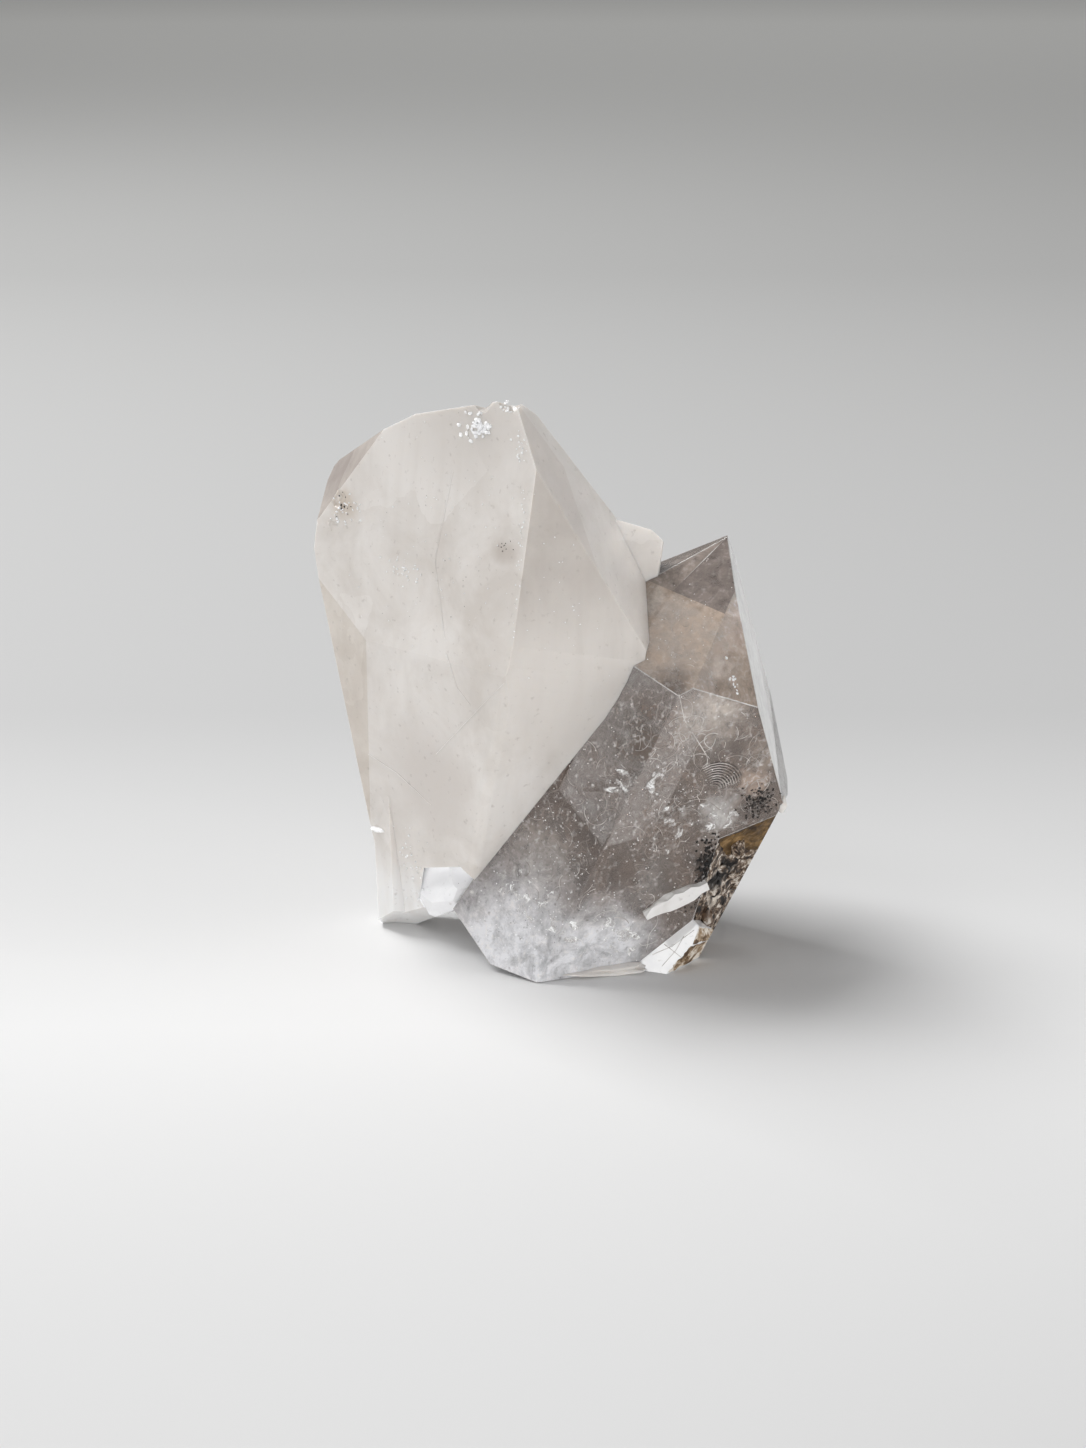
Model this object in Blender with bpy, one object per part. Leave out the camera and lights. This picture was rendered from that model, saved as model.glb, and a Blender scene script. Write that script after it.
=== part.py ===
"""Smoky and clear quartz cluster.

A hand specimen 90 mm tall: a broad cloudy crystal that stands upright, a stub of a second cloudy
crystal behind its right shoulder, and a smoky crystal that leans to the right in front of them. They grew
into each other and share one broken root, so the whole cluster is one closed solid.

A quartz crystal is a six-sided prism with a point of six faces. Its face angles are always the same, and
only the distances of the faces from the middle differ from crystal to crystal. Each crystal here is a
block cut by its faces, and each face is given by three numbers:

    azimuth   turn about the long axis in degrees, from the front (-Y) towards the right (+X)
    polar     angle in degrees between the long axis and the face's normal
    distance  from the crystal's middle to the face, in millimetres

The frame has +Z up and its origin on the ground under the middle of the cluster.
"""
import math

import bmesh
import bpy
from mathutils import Matrix, Vector

MM = 0.001
BLANK = 300.0            # mm, side of the block that a crystal is cut from
SPARE = 5.0              # mm, how far a crystal reaches below the ground before the foot is cut flat
LUMP_SWELL = 1.25        # a coarse ball is flatter between its corners, so it is made this much larger
NO_THICKNESS = 1e-7      # m, points closer than this to a cut count as on it

SIDE = 90.0              # polar angle of a prism face
POINT = 51.8             # polar angle of a face of the point, the same on every quartz crystal
STEP = 60.0              # turn from one prism face to the next

CLOUDY_MIDDLE = (-11.5, -2.0, 47.5)
CLOUDY_LEAN = (7.5, 0.5)         # degrees to the right and to the back
CLOUDY_TURN = -41.0              # azimuth of the broad face at the front left
CLOUDY_SIDES = (12.9, 21.5, 26.9, 29.0, 18.5, 28.0)
CLOUDY_POINT = {
    "right": (67.5, 59.0, 28.0),
    "right back": (131.5, 43.0, 25.5),
    "back": (-161.0, POINT, 29.3),
    "left shoulder": (-138.2, 31.6, 34.0),
    "left back": (-101.0, POINT, 38.6),
    "left": (-71.0, 71.0, 27.5),
    "worn top": (174.5, 30.0, 28.5),
}
# Below its middle the crystal narrows to the broken root.
CLOUDY_ROOT = {
    "front": (17.5, 109.0, 19.7),
    "front left": (-40.0, 103.5, 12.3),
    "left": (-49.0, 103.0, 14.0),
    "left back": (-96.0, 108.0, 22.9),
    "back": (170.0, 100.5, 19.0),
    "right back": (120.0, 112.0, 24.0),
    "front of the foot": (-1.5, 142.2, 33.9),
    "under the foot": (89.0, 132.0, 29.2),
    "behind the foot": (150.0, 143.0, 43.4),
}

STUB_MIDDLE = (8.5, 3.5, 50.0)
STUB_LEAN = (7.5, 3.0)
STUB_TURN = 8.0
STUB_SIDES = (8.0, 5.4, 6.9, 9.0, 8.0, 8.0)
STUB_ENDS = {
    "broken top": (156.6, 19.3, 14.6),
    "top right": (119.6, 39.4, 13.3),
    "top back": (170.0, 48.0, 17.0),
    "root": (150.0, 128.0, 20.0),
    "right root": (80.0, 112.0, 16.0),
}

SMOKY_MIDDLE = (10.5, -4.0, 32.5)
SMOKY_LEAN = (24.6, -1.8)
SMOKY_TURN = -35.6               # azimuth of the left one of the two prism faces at the front
SMOKY_SIDES = (13.2, 16.5, 27.3, 24.8, 22.0, 14.0)
SMOKY_POINT = (20.5, 24.2, 23.2, 27.8, 25.4, 22.4)
SMOKY_ROOT = {
    "left of the root": (-113.5, 159.5, 34.2),
    "front of the root": (83.0, 163.5, 34.0),
    "broken right side": (90.0, 91.5, 27.9),
    "bright corner": (38.5, 97.5, 22.0),
    "behind the root": (165.0, 138.0, 29.0),
}
# The right flank is broken back below a stained ledge.
FLANK = (61.5, 83.5, 20.2)
LEDGE = (41.0, 109.5, 19.6)

# Place in mm and radius in mm of a shell-shaped break.
BREAK_BETWEEN_THE_CRYSTALS = ((-20.4, -13.5, 9.2), 10.0)
CHIPS = {
    "top edge": ((-11.0, -15.5, 89.9), 2.6),
    "top edge left": ((-16.5, -12.5, 88.0), 1.9),
    "top corner": ((-6.2, -18.0, 90.2), 2.2),
    "left shoulder": ((-33.9, 0.6, 71.0), 2.4),
    "left shoulder low": ((-35.0, 1.4, 66.6), 1.8),
    "behind the top": ((-12.0, 9.0, 84.0), 5.0),
    "back of the root": ((-8.0, 24.0, 8.0), 9.0),
    "right of the root": ((26.0, 12.0, 2.0), 8.0),
}

# A white flake that lies across the smoky crystal, low on its right.
BLADE_START = (14.0, -16.1, 9.6)
BLADE_END = (23.6, -12.9, 13.6)
BLADE_OUT = (0.37, -0.91, -0.2)      # out of the crystal face that the flake lies on
BLADE_WIDTH = 1.5
BLADE_RISE = 0.5
BLADE_TAPER = 0.45                   # width at the start as a share of the width at the end

# The bright corner at the lower right of the smoky crystal: a block with a steep, mirror-flat top.
CORNER_MIDDLE = (19.5, -10.0, 3.0)
CORNER_FACES = {
    "bright top": (-32.6, 48.2, 3.1),
    "right": (56.8, 90.4, 4.4),
    "right low": (52.4, 117.0, 3.6),
    "left": (-75.0, 80.0, 8.0),
    "back": (180.0, 90.0, 0.0),
}

# Small lumps that grew or broke proud: place and half sizes in mm, turn in degrees about the upright.
LUMPS = {
    "clear lump below the right edge": ((34.0, -9.6, 26.3), (1.5, 1.6, 1.1), 20.0),
    "left edge": ((-28.6, 5.5, 17.0), (1.2, 3.0, 0.9), -40.0),
    "toe": ((9.0, -14.6, 0.8), (8.0, 2.6, 1.2), 8.0),
    "outside of the foot": ((-25.4, 4.6, 3.0), (1.8, 2.0, 3.4), 10.0),
    "under the break": ((-18.4, -1.6, 4.6), (2.6, 2.2, 1.3), -35.0),
    "rough flank 1": ((30.2, -9.6, 18.4), (1.3, 1.2, 1.5), 15.0),
    "rough flank 2": ((27.3, -8.6, 15.0), (1.5, 1.1, 1.2), 40.0),
    "rough flank 3": ((25.9, -7.0, 11.0), (1.2, 1.6, 1.6), 70.0),
    "rough flank 4": ((25.6, -9.2, 6.4), (1.3, 1.5, 1.9), 25.0),
}

CLOUDY_COLOUR = (0.60, 0.58, 0.55, 1.0)


def place(millimetres):
    return Vector(millimetres) * MM


class Lattice:
    """The directions of one crystal: its middle, its long axis, its front and its right."""

    def __init__(self, middle, lean):
        to_right, to_back = (math.tan(math.radians(angle)) for angle in lean)
        self.middle = place(middle)
        self.axis = Vector((to_right, to_back, 1.0)).normalized()
        toward_viewer = Vector((0.0, -1.0, 0.0))
        self.front = (toward_viewer - self.axis * toward_viewer.dot(self.axis)).normalized()
        self.right = self.axis.cross(self.front)

    def face(self, azimuth, polar, distance):
        """A point on a crystal face and its outward normal."""
        turn = math.radians(azimuth)
        tilt = math.radians(polar)
        across = self.front * math.cos(turn) + self.right * math.sin(turn)
        normal = across * math.sin(tilt) + self.axis * math.cos(tilt)
        return self.middle + normal * distance * MM, normal


def slice_off(bm, point, normal):
    """Cut away what lies past a plane, and close the body with one flat face."""
    everything = bm.verts[:] + bm.edges[:] + bm.faces[:]
    cut = bmesh.ops.bisect_plane(
        bm, geom=everything, plane_co=point, plane_no=normal, dist=NO_THICKNESS, clear_outer=True)
    rim = [item for item in cut["geom_cut"] if isinstance(item, bmesh.types.BMEdge)]
    if rim:
        bmesh.ops.edgeloop_fill(bm, edges=rim)


def cut_block(faces):
    """A closed body with the given flat faces that reaches a little below the ground."""
    bm = bmesh.new()
    bmesh.ops.create_cube(bm, size=BLANK * MM)
    for point, normal in faces:
        slice_off(bm, point, normal)
    slice_off(bm, place((0.0, 0.0, -SPARE)), Vector((0.0, 0.0, -1.0)))
    bmesh.ops.recalc_face_normals(bm, faces=bm.faces[:])
    return bm


def new_object(name, bm, collection):
    mesh = bpy.data.meshes.new(name)
    bm.to_mesh(mesh)
    bm.free()
    piece = bpy.data.objects.new(name, mesh)
    collection.objects.link(piece)
    return piece


def prism_faces(lattice, turn, distances, polar=SIDE):
    return [lattice.face(turn + STEP * k, polar, distance) for k, distance in enumerate(distances)]


def cloudy_crystal(collection):
    lattice = Lattice(CLOUDY_MIDDLE, CLOUDY_LEAN)
    faces = prism_faces(lattice, CLOUDY_TURN, CLOUDY_SIDES)
    faces += [lattice.face(*face) for face in CLOUDY_POINT.values()]
    faces += [lattice.face(*face) for face in CLOUDY_ROOT.values()]
    return new_object("quartz_cluster", cut_block(faces), collection)


def corner(tools):
    lattice = Lattice(CORNER_MIDDLE, (0.0, 0.0))
    faces = [lattice.face(*face) for face in CORNER_FACES.values()]
    return new_object("bright_corner", cut_block(faces), tools)


def stub_crystal(tools):
    lattice = Lattice(STUB_MIDDLE, STUB_LEAN)
    faces = prism_faces(lattice, STUB_TURN, STUB_SIDES)
    faces += [lattice.face(*face) for face in STUB_ENDS.values()]
    return new_object("stub_crystal", cut_block(faces), tools)


def smoky_crystal(tools):
    lattice = Lattice(SMOKY_MIDDLE, SMOKY_LEAN)
    faces = prism_faces(lattice, SMOKY_TURN, SMOKY_SIDES)
    faces += prism_faces(lattice, SMOKY_TURN, SMOKY_POINT, POINT)
    faces += [lattice.face(*face) for face in SMOKY_ROOT.values()]
    crystal = new_object("smoky_crystal", cut_block(faces), tools)
    join_or_cut(crystal, broken_flank(lattice, tools), "DIFFERENCE")
    return crystal


def broken_flank(lattice, tools):
    """What has broken off the right flank: everything outside the flank face and the ledge face."""
    faces = []
    for face in (FLANK, LEDGE):
        point, normal = lattice.face(*face)
        faces.append((point, -normal))
    bm = bmesh.new()
    bmesh.ops.create_cube(bm, size=BLANK * MM)
    for point, normal in faces:
        slice_off(bm, point, normal)
    bmesh.ops.recalc_face_normals(bm, faces=bm.faces[:])
    return new_object("broken_flank", bm, tools)


def chip(name, centre, radius, tools):
    """A ball of flat faces: the hollow it leaves looks like a shell-shaped break."""
    bm = bmesh.new()
    bmesh.ops.create_icosphere(bm, subdivisions=2, radius=radius * MM)
    bmesh.ops.translate(bm, verts=bm.verts[:], vec=place(centre))
    return new_object("chip_" + name.replace(" ", "_"), bm, tools)


def lump(name, centre, half_sizes, turn, tools):
    """A small lump with flat faces: a coarse ball, stretched, turned and set in place."""
    bm = bmesh.new()
    bmesh.ops.create_icosphere(bm, subdivisions=1, radius=1.0)
    bmesh.ops.scale(bm, verts=bm.verts[:], vec=place(half_sizes) * LUMP_SWELL)
    spin = Matrix.Rotation(math.radians(turn), 4, "Z")
    bmesh.ops.transform(bm, matrix=Matrix.Translation(place(centre)) @ spin, verts=bm.verts[:])
    return new_object("lump_" + name.replace(" ", "_"), bm, tools)


def blade(tools):
    """A flat flake, narrow at its lower end."""
    start = place(BLADE_START)
    end = place(BLADE_END)
    along = (end - start).normalized()
    up = Vector(BLADE_OUT).cross(along).normalized()
    out = along.cross(up)
    bm = bmesh.new()
    bmesh.ops.create_cube(bm, size=1.0)
    narrow_end = [vert for vert in bm.verts if vert.co.x < 0]
    bmesh.ops.scale(bm, verts=narrow_end, vec=(1.0, 1.0, BLADE_TAPER))
    bmesh.ops.scale(
        bm, verts=bm.verts[:], vec=((end - start).length, 2.0 * BLADE_RISE * MM, BLADE_WIDTH * MM))
    turned = Matrix((along, out, up)).transposed().to_4x4()
    bmesh.ops.transform(bm, matrix=Matrix.Translation((start + end) / 2) @ turned, verts=bm.verts[:])
    bmesh.ops.recalc_face_normals(bm, faces=bm.faces[:])
    return new_object("blade", bm, tools)


def ground(tools):
    """Everything below the ground: the cluster rests on the flat feet that this leaves."""
    bm = bmesh.new()
    bmesh.ops.create_cube(bm, size=BLANK * MM)
    bmesh.ops.translate(bm, verts=bm.verts[:], vec=place((0.0, 0.0, -BLANK / 2)))
    return new_object("ground", bm, tools)


def join_or_cut(target, other, operation):
    modifier = target.modifiers.new(operation.lower() + " " + other.name, "BOOLEAN")
    modifier.object = other
    modifier.operation = operation
    modifier.solver = "EXACT"
    other.hide_render = True
    other.display_type = "WIRE"


def quartz():
    """Cloudy quartz: white with a trace of warm grey."""
    material = bpy.data.materials.new("cloudy quartz")
    material.use_nodes = True
    shader = material.node_tree.nodes["Principled BSDF"]
    shader.inputs["Base Color"].default_value = CLOUDY_COLOUR
    shader.inputs["Roughness"].default_value = 0.25
    shader.inputs["Metallic"].default_value = 0.0
    material.diffuse_color = CLOUDY_COLOUR
    return material


def main():
    for leftover in list(bpy.data.objects):
        bpy.data.objects.remove(leftover, do_unlink=True)
    cluster = bpy.data.collections.new("quartz_cluster")
    tools = bpy.data.collections.new("grown together and broken away")
    bpy.context.scene.collection.children.link(cluster)
    bpy.context.scene.collection.children.link(tools)

    crystal = cloudy_crystal(cluster)
    crystal.data.materials.append(quartz())
    centre, radius = BREAK_BETWEEN_THE_CRYSTALS
    join_or_cut(crystal, chip("between the crystals", centre, radius, tools), "DIFFERENCE")
    join_or_cut(crystal, stub_crystal(tools), "UNION")
    join_or_cut(crystal, smoky_crystal(tools), "UNION")
    join_or_cut(crystal, corner(tools), "UNION")
    for name, (centre, half_sizes, turn) in LUMPS.items():
        join_or_cut(crystal, lump(name, centre, half_sizes, turn, tools), "UNION")
    join_or_cut(crystal, blade(tools), "UNION")
    for name, (centre, radius) in CHIPS.items():
        join_or_cut(crystal, chip(name, centre, radius, tools), "DIFFERENCE")
    join_or_cut(crystal, ground(tools), "DIFFERENCE")


main()
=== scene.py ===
# %% [markdown]
# # A smoky and clear quartz cluster
#
# The specimen is one piece of stone, 90 mm tall. Two cloudy crystals and one smoky, see-through crystal
# grew into each other on one broken root. The lesson cuts each crystal from a block with flat planes,
# breaks chips out of it, and then puts into it what makes quartz look like quartz: veils, healed cracks,
# sparkling specks, smoke and an iron stain.

import math
import random

import bmesh
import bpy
from mathutils import Matrix, Vector, noise
from mathutils.geometry import intersect_plane_plane


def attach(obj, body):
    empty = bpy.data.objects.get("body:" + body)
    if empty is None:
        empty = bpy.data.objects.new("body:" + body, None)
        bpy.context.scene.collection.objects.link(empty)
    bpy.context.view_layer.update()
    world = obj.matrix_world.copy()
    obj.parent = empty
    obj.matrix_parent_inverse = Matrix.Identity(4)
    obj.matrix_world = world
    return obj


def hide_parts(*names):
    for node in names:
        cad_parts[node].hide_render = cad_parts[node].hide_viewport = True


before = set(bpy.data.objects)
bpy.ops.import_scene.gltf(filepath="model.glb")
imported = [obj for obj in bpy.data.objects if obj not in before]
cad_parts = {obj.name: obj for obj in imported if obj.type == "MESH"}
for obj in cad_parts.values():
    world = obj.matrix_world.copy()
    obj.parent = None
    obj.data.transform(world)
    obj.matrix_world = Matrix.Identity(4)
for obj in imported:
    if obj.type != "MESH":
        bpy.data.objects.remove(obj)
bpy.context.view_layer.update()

MM = 0.001


def place(millimetres):
    """A point given in millimetres, in Blender's metres."""
    return Vector(millimetres) * MM


# %% [markdown]
# ## Camera
#
# The view is from the front, 17 degrees above the table, through a short telephoto lens. The camera could
# be turned by angles; aiming it from one place at another is easier to read and to change.

# %% Camera
scene = bpy.context.scene
scene.view_settings.view_transform = "Standard"
scene.view_settings.look = "None"

EYE = (-1.5, -420.9, 164.0)
LOOKS_AT = (-1.5, -4.0, 36.5)

camera = bpy.data.objects.new("camera", bpy.data.cameras.new("camera"))
scene.collection.objects.link(camera)
camera.location = place(EYE)
camera.rotation_mode = "QUATERNION"
camera.rotation_quaternion = (place(LOOKS_AT) - place(EYE)).to_track_quat("-Z", "Y")
camera.data.lens = 70.0
camera.data.sensor_width = 36.0
camera.data.clip_start = 0.01
scene.camera = camera
print("camera", round((place(EYE) - place(LOOKS_AT)).length, 3), "m from the cluster")

# %% [markdown]
# ## Materials from nodes
#
# A material is a small tree of nodes. It could be drawn in the shader editor; written down, it can be read
# and changed. One function adds a node of any kind with its settings and links. Every pattern reads Object
# coordinates, which are metres, so the size of its cells is given in millimetres of real stone. Some sizes
# are odd numbers, because they were first matched as cells per metre.

# %% Helpers for materials
COLOURS = {"data_type": "RGBA"}            # a mix node for colours; its result is output 2
ADD, MULTIPLY, MULTIPLY_ADD = ({"operation": name, "use_clamp": True}
                               for name in ("ADD", "MULTIPLY", "MULTIPLY_ADD"))


def linear(hex_colour):
    """An sRGB hex colour as the linear colour that shaders use."""
    channels = [int(hex_colour[k:k + 2], 16) / 255 for k in (1, 3, 5)]
    return [c / 12.92 if c <= 0.04045 else ((c + 0.055) / 1.055) ** 2.4 for c in channels] + [1.0]


def new_material(name):
    """An empty material and its node tree."""
    material = bpy.data.materials.new(name)
    material.use_nodes = True
    material.node_tree.nodes.clear()
    print("material", name)
    return material, material.node_tree


def node(tree, kind, settings=(), out=0, **inputs):
    """Add one node and give its output socket.

    Settings are its properties, or the stops of a ramp as (position, hex colour). An input is named, or
    numbered as _0, and takes a hex colour, a value or the socket to link.
    """
    made = tree.nodes.new("ShaderNode" + kind)
    for name, value in dict(settings).items():
        if name != "stops":
            setattr(made, name, value)
            continue
        elements = made.color_ramp.elements
        while len(elements) < len(value):
            elements.new(0.5)
        for element, (position, colour) in zip(elements, value):
            element.position = position
            element.color = linear(colour)
    for name, value in inputs.items():
        socket = made.inputs[int(name[1:])] if name[0] == "_" else made.inputs[name.replace("_", " ")]
        if isinstance(value, bpy.types.NodeSocket):
            tree.links.new(value, socket)
        else:
            socket.default_value = linear(value) if isinstance(value, str) else value
    return made.outputs[out] if made.outputs else None


def cells(size):
    """The scale of a pattern whose cells have a size in millimetres."""
    return 1.0 / (size * MM)


# %% [markdown]
# ## Table top
#
# The table is one pale sheet that runs far back, so it also fills the background. A curved studio backdrop
# would do the same; a flat sheet is simpler. Its colour changes over its depth as painted light: a painted
# pool of light round the cluster, darker in front of it and behind it, and a bright far end.

# %% Table top
def link(name, bm, *materials):
    """Turn a bmesh into an object at the origin, with flat faces."""
    mesh = bpy.data.meshes.new(name)
    bm.to_mesh(mesh)
    bm.free()
    for material in materials:
        mesh.materials.append(material)
    made = bpy.data.objects.new(name, mesh)
    scene.collection.objects.link(made)
    return made


FLOOR_SIDE = 12.0              # m
# the stops are painted light: a painted pool of light round the cluster, painted shade behind it, and a
# painted bright far end
FLOOR_PAINTED_LIGHT = [(0.0, "#d5d5d5"), (0.05, "#f1f1f1"), (0.1, "#cecece"), (0.3, "#c6c6c5"), (0.9, "#fefefb")]
TONES_START, TONES_END = -0.2, 3.0      # m, from before the cluster to far behind it

paper, tree = new_material("matt white paper")     # no gloss, so the pool of light fades evenly
where = node(tree, "TexCoord", out="Object")
depth = node(tree, "SeparateXYZ", out="Y", Vector=where)
share = node(tree, "MapRange", Value=depth, From_Min=TONES_START, From_Max=TONES_END, To_Min=0.0,
             To_Max=1.0)
# the ramp paints the pool of light and the fall of light with distance into the sheet's colour
tint = node(tree, "ValToRGB", {"stops": FLOOR_PAINTED_LIGHT}, Fac=share)
sheet = node(tree, "BsdfPrincipled", Base_Color=tint, Roughness=0.9, Specular_IOR_Level=0.2)
node(tree, "OutputMaterial", Surface=sheet)

bm = bmesh.new()
bmesh.ops.create_grid(bm, x_segments=1, y_segments=1, size=FLOOR_SIDE / 2)
floor = link("table_top", bm, paper)
print("table top", FLOOR_SIDE, "m wide")

# %% [markdown]
# ## Light
#
# A broad soft lamp at the upper left gives the soft shadow at the cluster's right and, together with the
# painted pool of light in the table's colour, the pool of light round the cluster. Two low lamps graze the
# table, so they brighten the upright faces and leave the shadow alone, and one lights the far end of the
# table. Real quartz also passes light on to its neighbours; four small lamps stand in for that, because
# tracing it through cloudy stone would take very long.

# %% Lamps and surroundings
LAMPS = (                      # name, place and target in m, sides in m, power in W
    ("window_left", (-0.68, 0.42, 1.2), (-0.04, -0.05, 0.0), (0.8, 0.8), 17.3),
    ("front_fill", (-0.35, -1.15, 0.15), (0.0, 0.0, 0.06), (0.9, 0.25), 3.6),
    ("right_fill", (0.9, -0.15, 0.1), (0.0, 0.0, 0.06), (0.5, 0.18), 3.2),
    # in front of the foot, for light that the stone throws back at its own root
    ("low_card", (-0.03, -0.3, 0.03), (0.0, -0.012, 0.004), (0.09, 0.05), 0.12),
    # on the background
    ("far_table", (0.0, 2.3, 1.6), (0.0, 2.7, 0.0), (3.0, 0.8), 5.5),
    # above the foot, for the glint of the bright corner
    ("glint", (-0.4, -0.25, 0.65), (0.02, -0.014, 0.004), (0.2, 0.2), 0.42),
    # very weak, for light that comes out of the root under the bright chip
    ("through_root", (-0.0175, -0.0025, 0.0055), (-0.0175, -0.002, 0.0), (0.008, 0.004), 0.00007),
    # from the right, for light passed on to the cloudy crystal beside the contact
    ("shoulder_light", (0.74, -0.11, 0.37), (0.01, -0.01, 0.062), (0.04, 0.04), 0.00045))
for name, position, target, sides, power in LAMPS:
    data = bpy.data.lights.new(name, "AREA")
    data.shape = "RECTANGLE"
    data.size, data.size_y = sides
    data.energy = power
    lamp = bpy.data.objects.new(name, data)
    scene.collection.objects.link(lamp)
    lamp.location = position
    lamp.rotation_mode = "QUATERNION"
    lamp.rotation_quaternion = (Vector(target) - Vector(position)).to_track_quat("-Z", "Y")
bpy.data.lights["shoulder_light"].spread = math.radians(4.0)      # a narrow beam
print("lamps", [row[0] for row in LAMPS])

world = bpy.data.worlds.new("studio")
scene.world = world
world.use_nodes = True
world.node_tree.nodes.clear()
sky = node(world.node_tree, "Background", Color="#ffffff", Strength=0.2)
node(world.node_tree, "OutputWorld", Surface=sky)

# %% [markdown]
# ## Crystals as cut blocks
#
# A quartz crystal is a six-sided prism with a point of six faces. The angles between its faces never
# change, only how far each face stands from the middle. So a crystal is a block, cut by one plane for each
# face, and a face is three numbers: its turn about the long axis, its angle to that axis and its distance.
# A cylinder with six sides and a cone would be quicker, but all its faces would stand equally far out, which
# no real crystal shows.

# %% The directions of a crystal
PRISM = 90.0       # angle between the long axis and the normal of a prism face
POINT = 51.8       # the same for a face of the point: it is 51.8 degrees on every quartz crystal
STEP = 60.0        # turn from one face to the next


class Lattice:
    """The middle, long axis, front and right of one crystal; it leans to the right and to the back."""

    def __init__(self, middle, lean):
        to_right, to_back = (math.tan(math.radians(angle)) for angle in lean)
        self.middle = place(middle)
        self.axis = Vector((to_right, to_back, 1.0)).normalized()
        front = Vector((0.0, -1.0, 0.0))
        self.front = (front - self.axis * front.dot(self.axis)).normalized()
        self.right = self.axis.cross(self.front)

    def face(self, turn, angle, distance):
        """A point on a face and its outward normal."""
        turn, angle = math.radians(turn), math.radians(angle)
        across = self.front * math.cos(turn) + self.right * math.sin(turn)
        normal = across * math.sin(angle) + self.axis * math.cos(angle)
        return self.middle + normal * distance * MM, normal

    def ring(self, turn, angle, distances):
        """Six faces, one step apart."""
        return [self.face(turn + STEP * k, angle, distance) for k, distance in enumerate(distances)]


DOWN = Vector((0.0, 0.0, -1.0))
BLOCK = 300.0      # mm, side of the block that a crystal is cut from
SPARE = -5.0       # mm, bodies reach this far below the table before the cluster's foot is cut flat
FOOT = 0.03        # mm, hair's breadth between the foot and the table top
TOUCHING = 1e-7    # m, corners closer than this to a cutting plane count as on it


def slice_off(bm, point, normal, close=True):
    """Take away what lies past a plane; a closed body gets one flat face over the cut."""
    cut = bmesh.ops.bisect_plane(bm, geom=bm.verts[:] + bm.edges[:] + bm.faces[:], plane_co=point,
                                 plane_no=normal, dist=TOUCHING, clear_outer=True)
    rim = [item for item in cut["geom_cut"] if isinstance(item, bmesh.types.BMEdge)]
    if rim and close:
        bmesh.ops.edgeloop_fill(bm, edges=rim)


def cut_block(faces, bottom=SPARE):
    """A closed block with the given flat faces."""
    bm = bmesh.new()
    bmesh.ops.create_cube(bm, size=BLOCK * MM)
    for point, normal in faces:
        slice_off(bm, point, normal)
    slice_off(bm, place((0.0, 0.0, bottom)), DOWN)
    bmesh.ops.recalc_face_normals(bm, faces=bm.faces[:])
    return bm


# %% [markdown]
# ## Joining and breaking
#
# What grew into one stone is joined, and what has broken away is cut out, by exact booleans. Modelling the
# breaks vertex by vertex would be slow and easy to get wrong. Handling wears old edges round, so a narrow
# bevel takes the sharp ones away and catches the light.

# %% Joining and wearing
def combine(bm, other, operation):
    """The union or difference of two bodies, as a new bmesh; empty slots keep their material numbers."""
    first, second = link("first", bm, *[None] * 4), link("second", other, *[None] * 4)
    modifier = first.modifiers.new(operation, "BOOLEAN")
    modifier.object = second
    modifier.operation = operation
    modifier.solver = "EXACT"
    bpy.context.view_layer.update()
    mesh = bpy.data.meshes.new_from_object(first.evaluated_get(bpy.context.evaluated_depsgraph_get()))
    result = bmesh.new()
    result.from_mesh(mesh)
    for used in (first, second):
        bpy.data.objects.remove(used, do_unlink=True)
    return result


SHARP = 0.2        # radians, edges with a smaller angle are left alone


def wear(bm, width, segments=2, material=-1, spare=()):
    """Round every edge, as handling does, but not where the two materials of an edge are a spared pair."""
    bmesh.ops.remove_doubles(bm, verts=bm.verts[:], dist=width * 1.2 * MM)
    sharp = [edge for edge in bm.edges if len(edge.link_faces) == 2 and edge.calc_face_angle() > SHARP
             and tuple(sorted(face.material_index for face in edge.link_faces)) not in spare]
    bmesh.ops.bevel(bm, geom=sharp, offset=width * MM, offset_type="OFFSET", segments=segments,
                    profile=0.5, affect="EDGES", clamp_overlap=True, material=material)


def flat_foot(bm):
    """Cut the body level with the table."""
    slice_off(bm, place((0.0, 0.0, FOOT)), DOWN)
    return bm


def add(name, slot, bm, *materials):
    """Make a piece that belongs to the one solid of the cluster."""
    triangles = len(bm.calc_loop_triangles())
    piece = link(name, bm, *materials)
    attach(piece, "root")
    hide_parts("quartz_cluster")
    print(name, triangles, "triangles")


# %% [markdown]
# ## The faces of the crystals
#
# Each row is a face: turn, angle and distance. The turn counts from the front towards the right. The prism
# and the point follow the law of quartz; the other faces are worn, broken or grown against a neighbour,
# so their angles were read from the photograph.

# %% The faces of the three crystals
CLOUDY = Lattice((-11.5, -2.0, 47.5), (7.5, 0.5))
CLOUDY_FACES = CLOUDY.ring(-41.0, PRISM, (12.9, 21.5, 26.9, 29.0, 18.5, 28.0)) + [
    CLOUDY.face(*face) for face in (
        (67.5, 59.0, 28.0), (131.5, 43.0, 25.5), (-161.0, POINT, 29.3), (-138.2, 31.6, 34.0),
        (-101.0, POINT, 38.6), (-71.0, 71.0, 27.5), (174.5, 30.0, 28.5),
        (17.5, 109.0, 19.7), (-40.0, 103.5, 12.3), (-49.0, 103.0, 14.0), (-96.0, 108.0, 22.9),
        (170.0, 100.5, 19.0), (120.0, 112.0, 24.0), (-1.5, 142.2, 33.9), (89.0, 132.0, 29.2),
        (150.0, 143.0, 43.4))]
BROAD, FRONT_RIGHT, RIGHT_SIDE = CLOUDY_FACES[0], CLOUDY_FACES[1], CLOUDY_FACES[6]
SHOULDER, FRONT_ROOT, FRONT_LEFT_ROOT = CLOUDY_FACES[11], CLOUDY_FACES[13], CLOUDY_FACES[14]
LEFT_SLIVER = CLOUDY_FACES[15]

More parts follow.
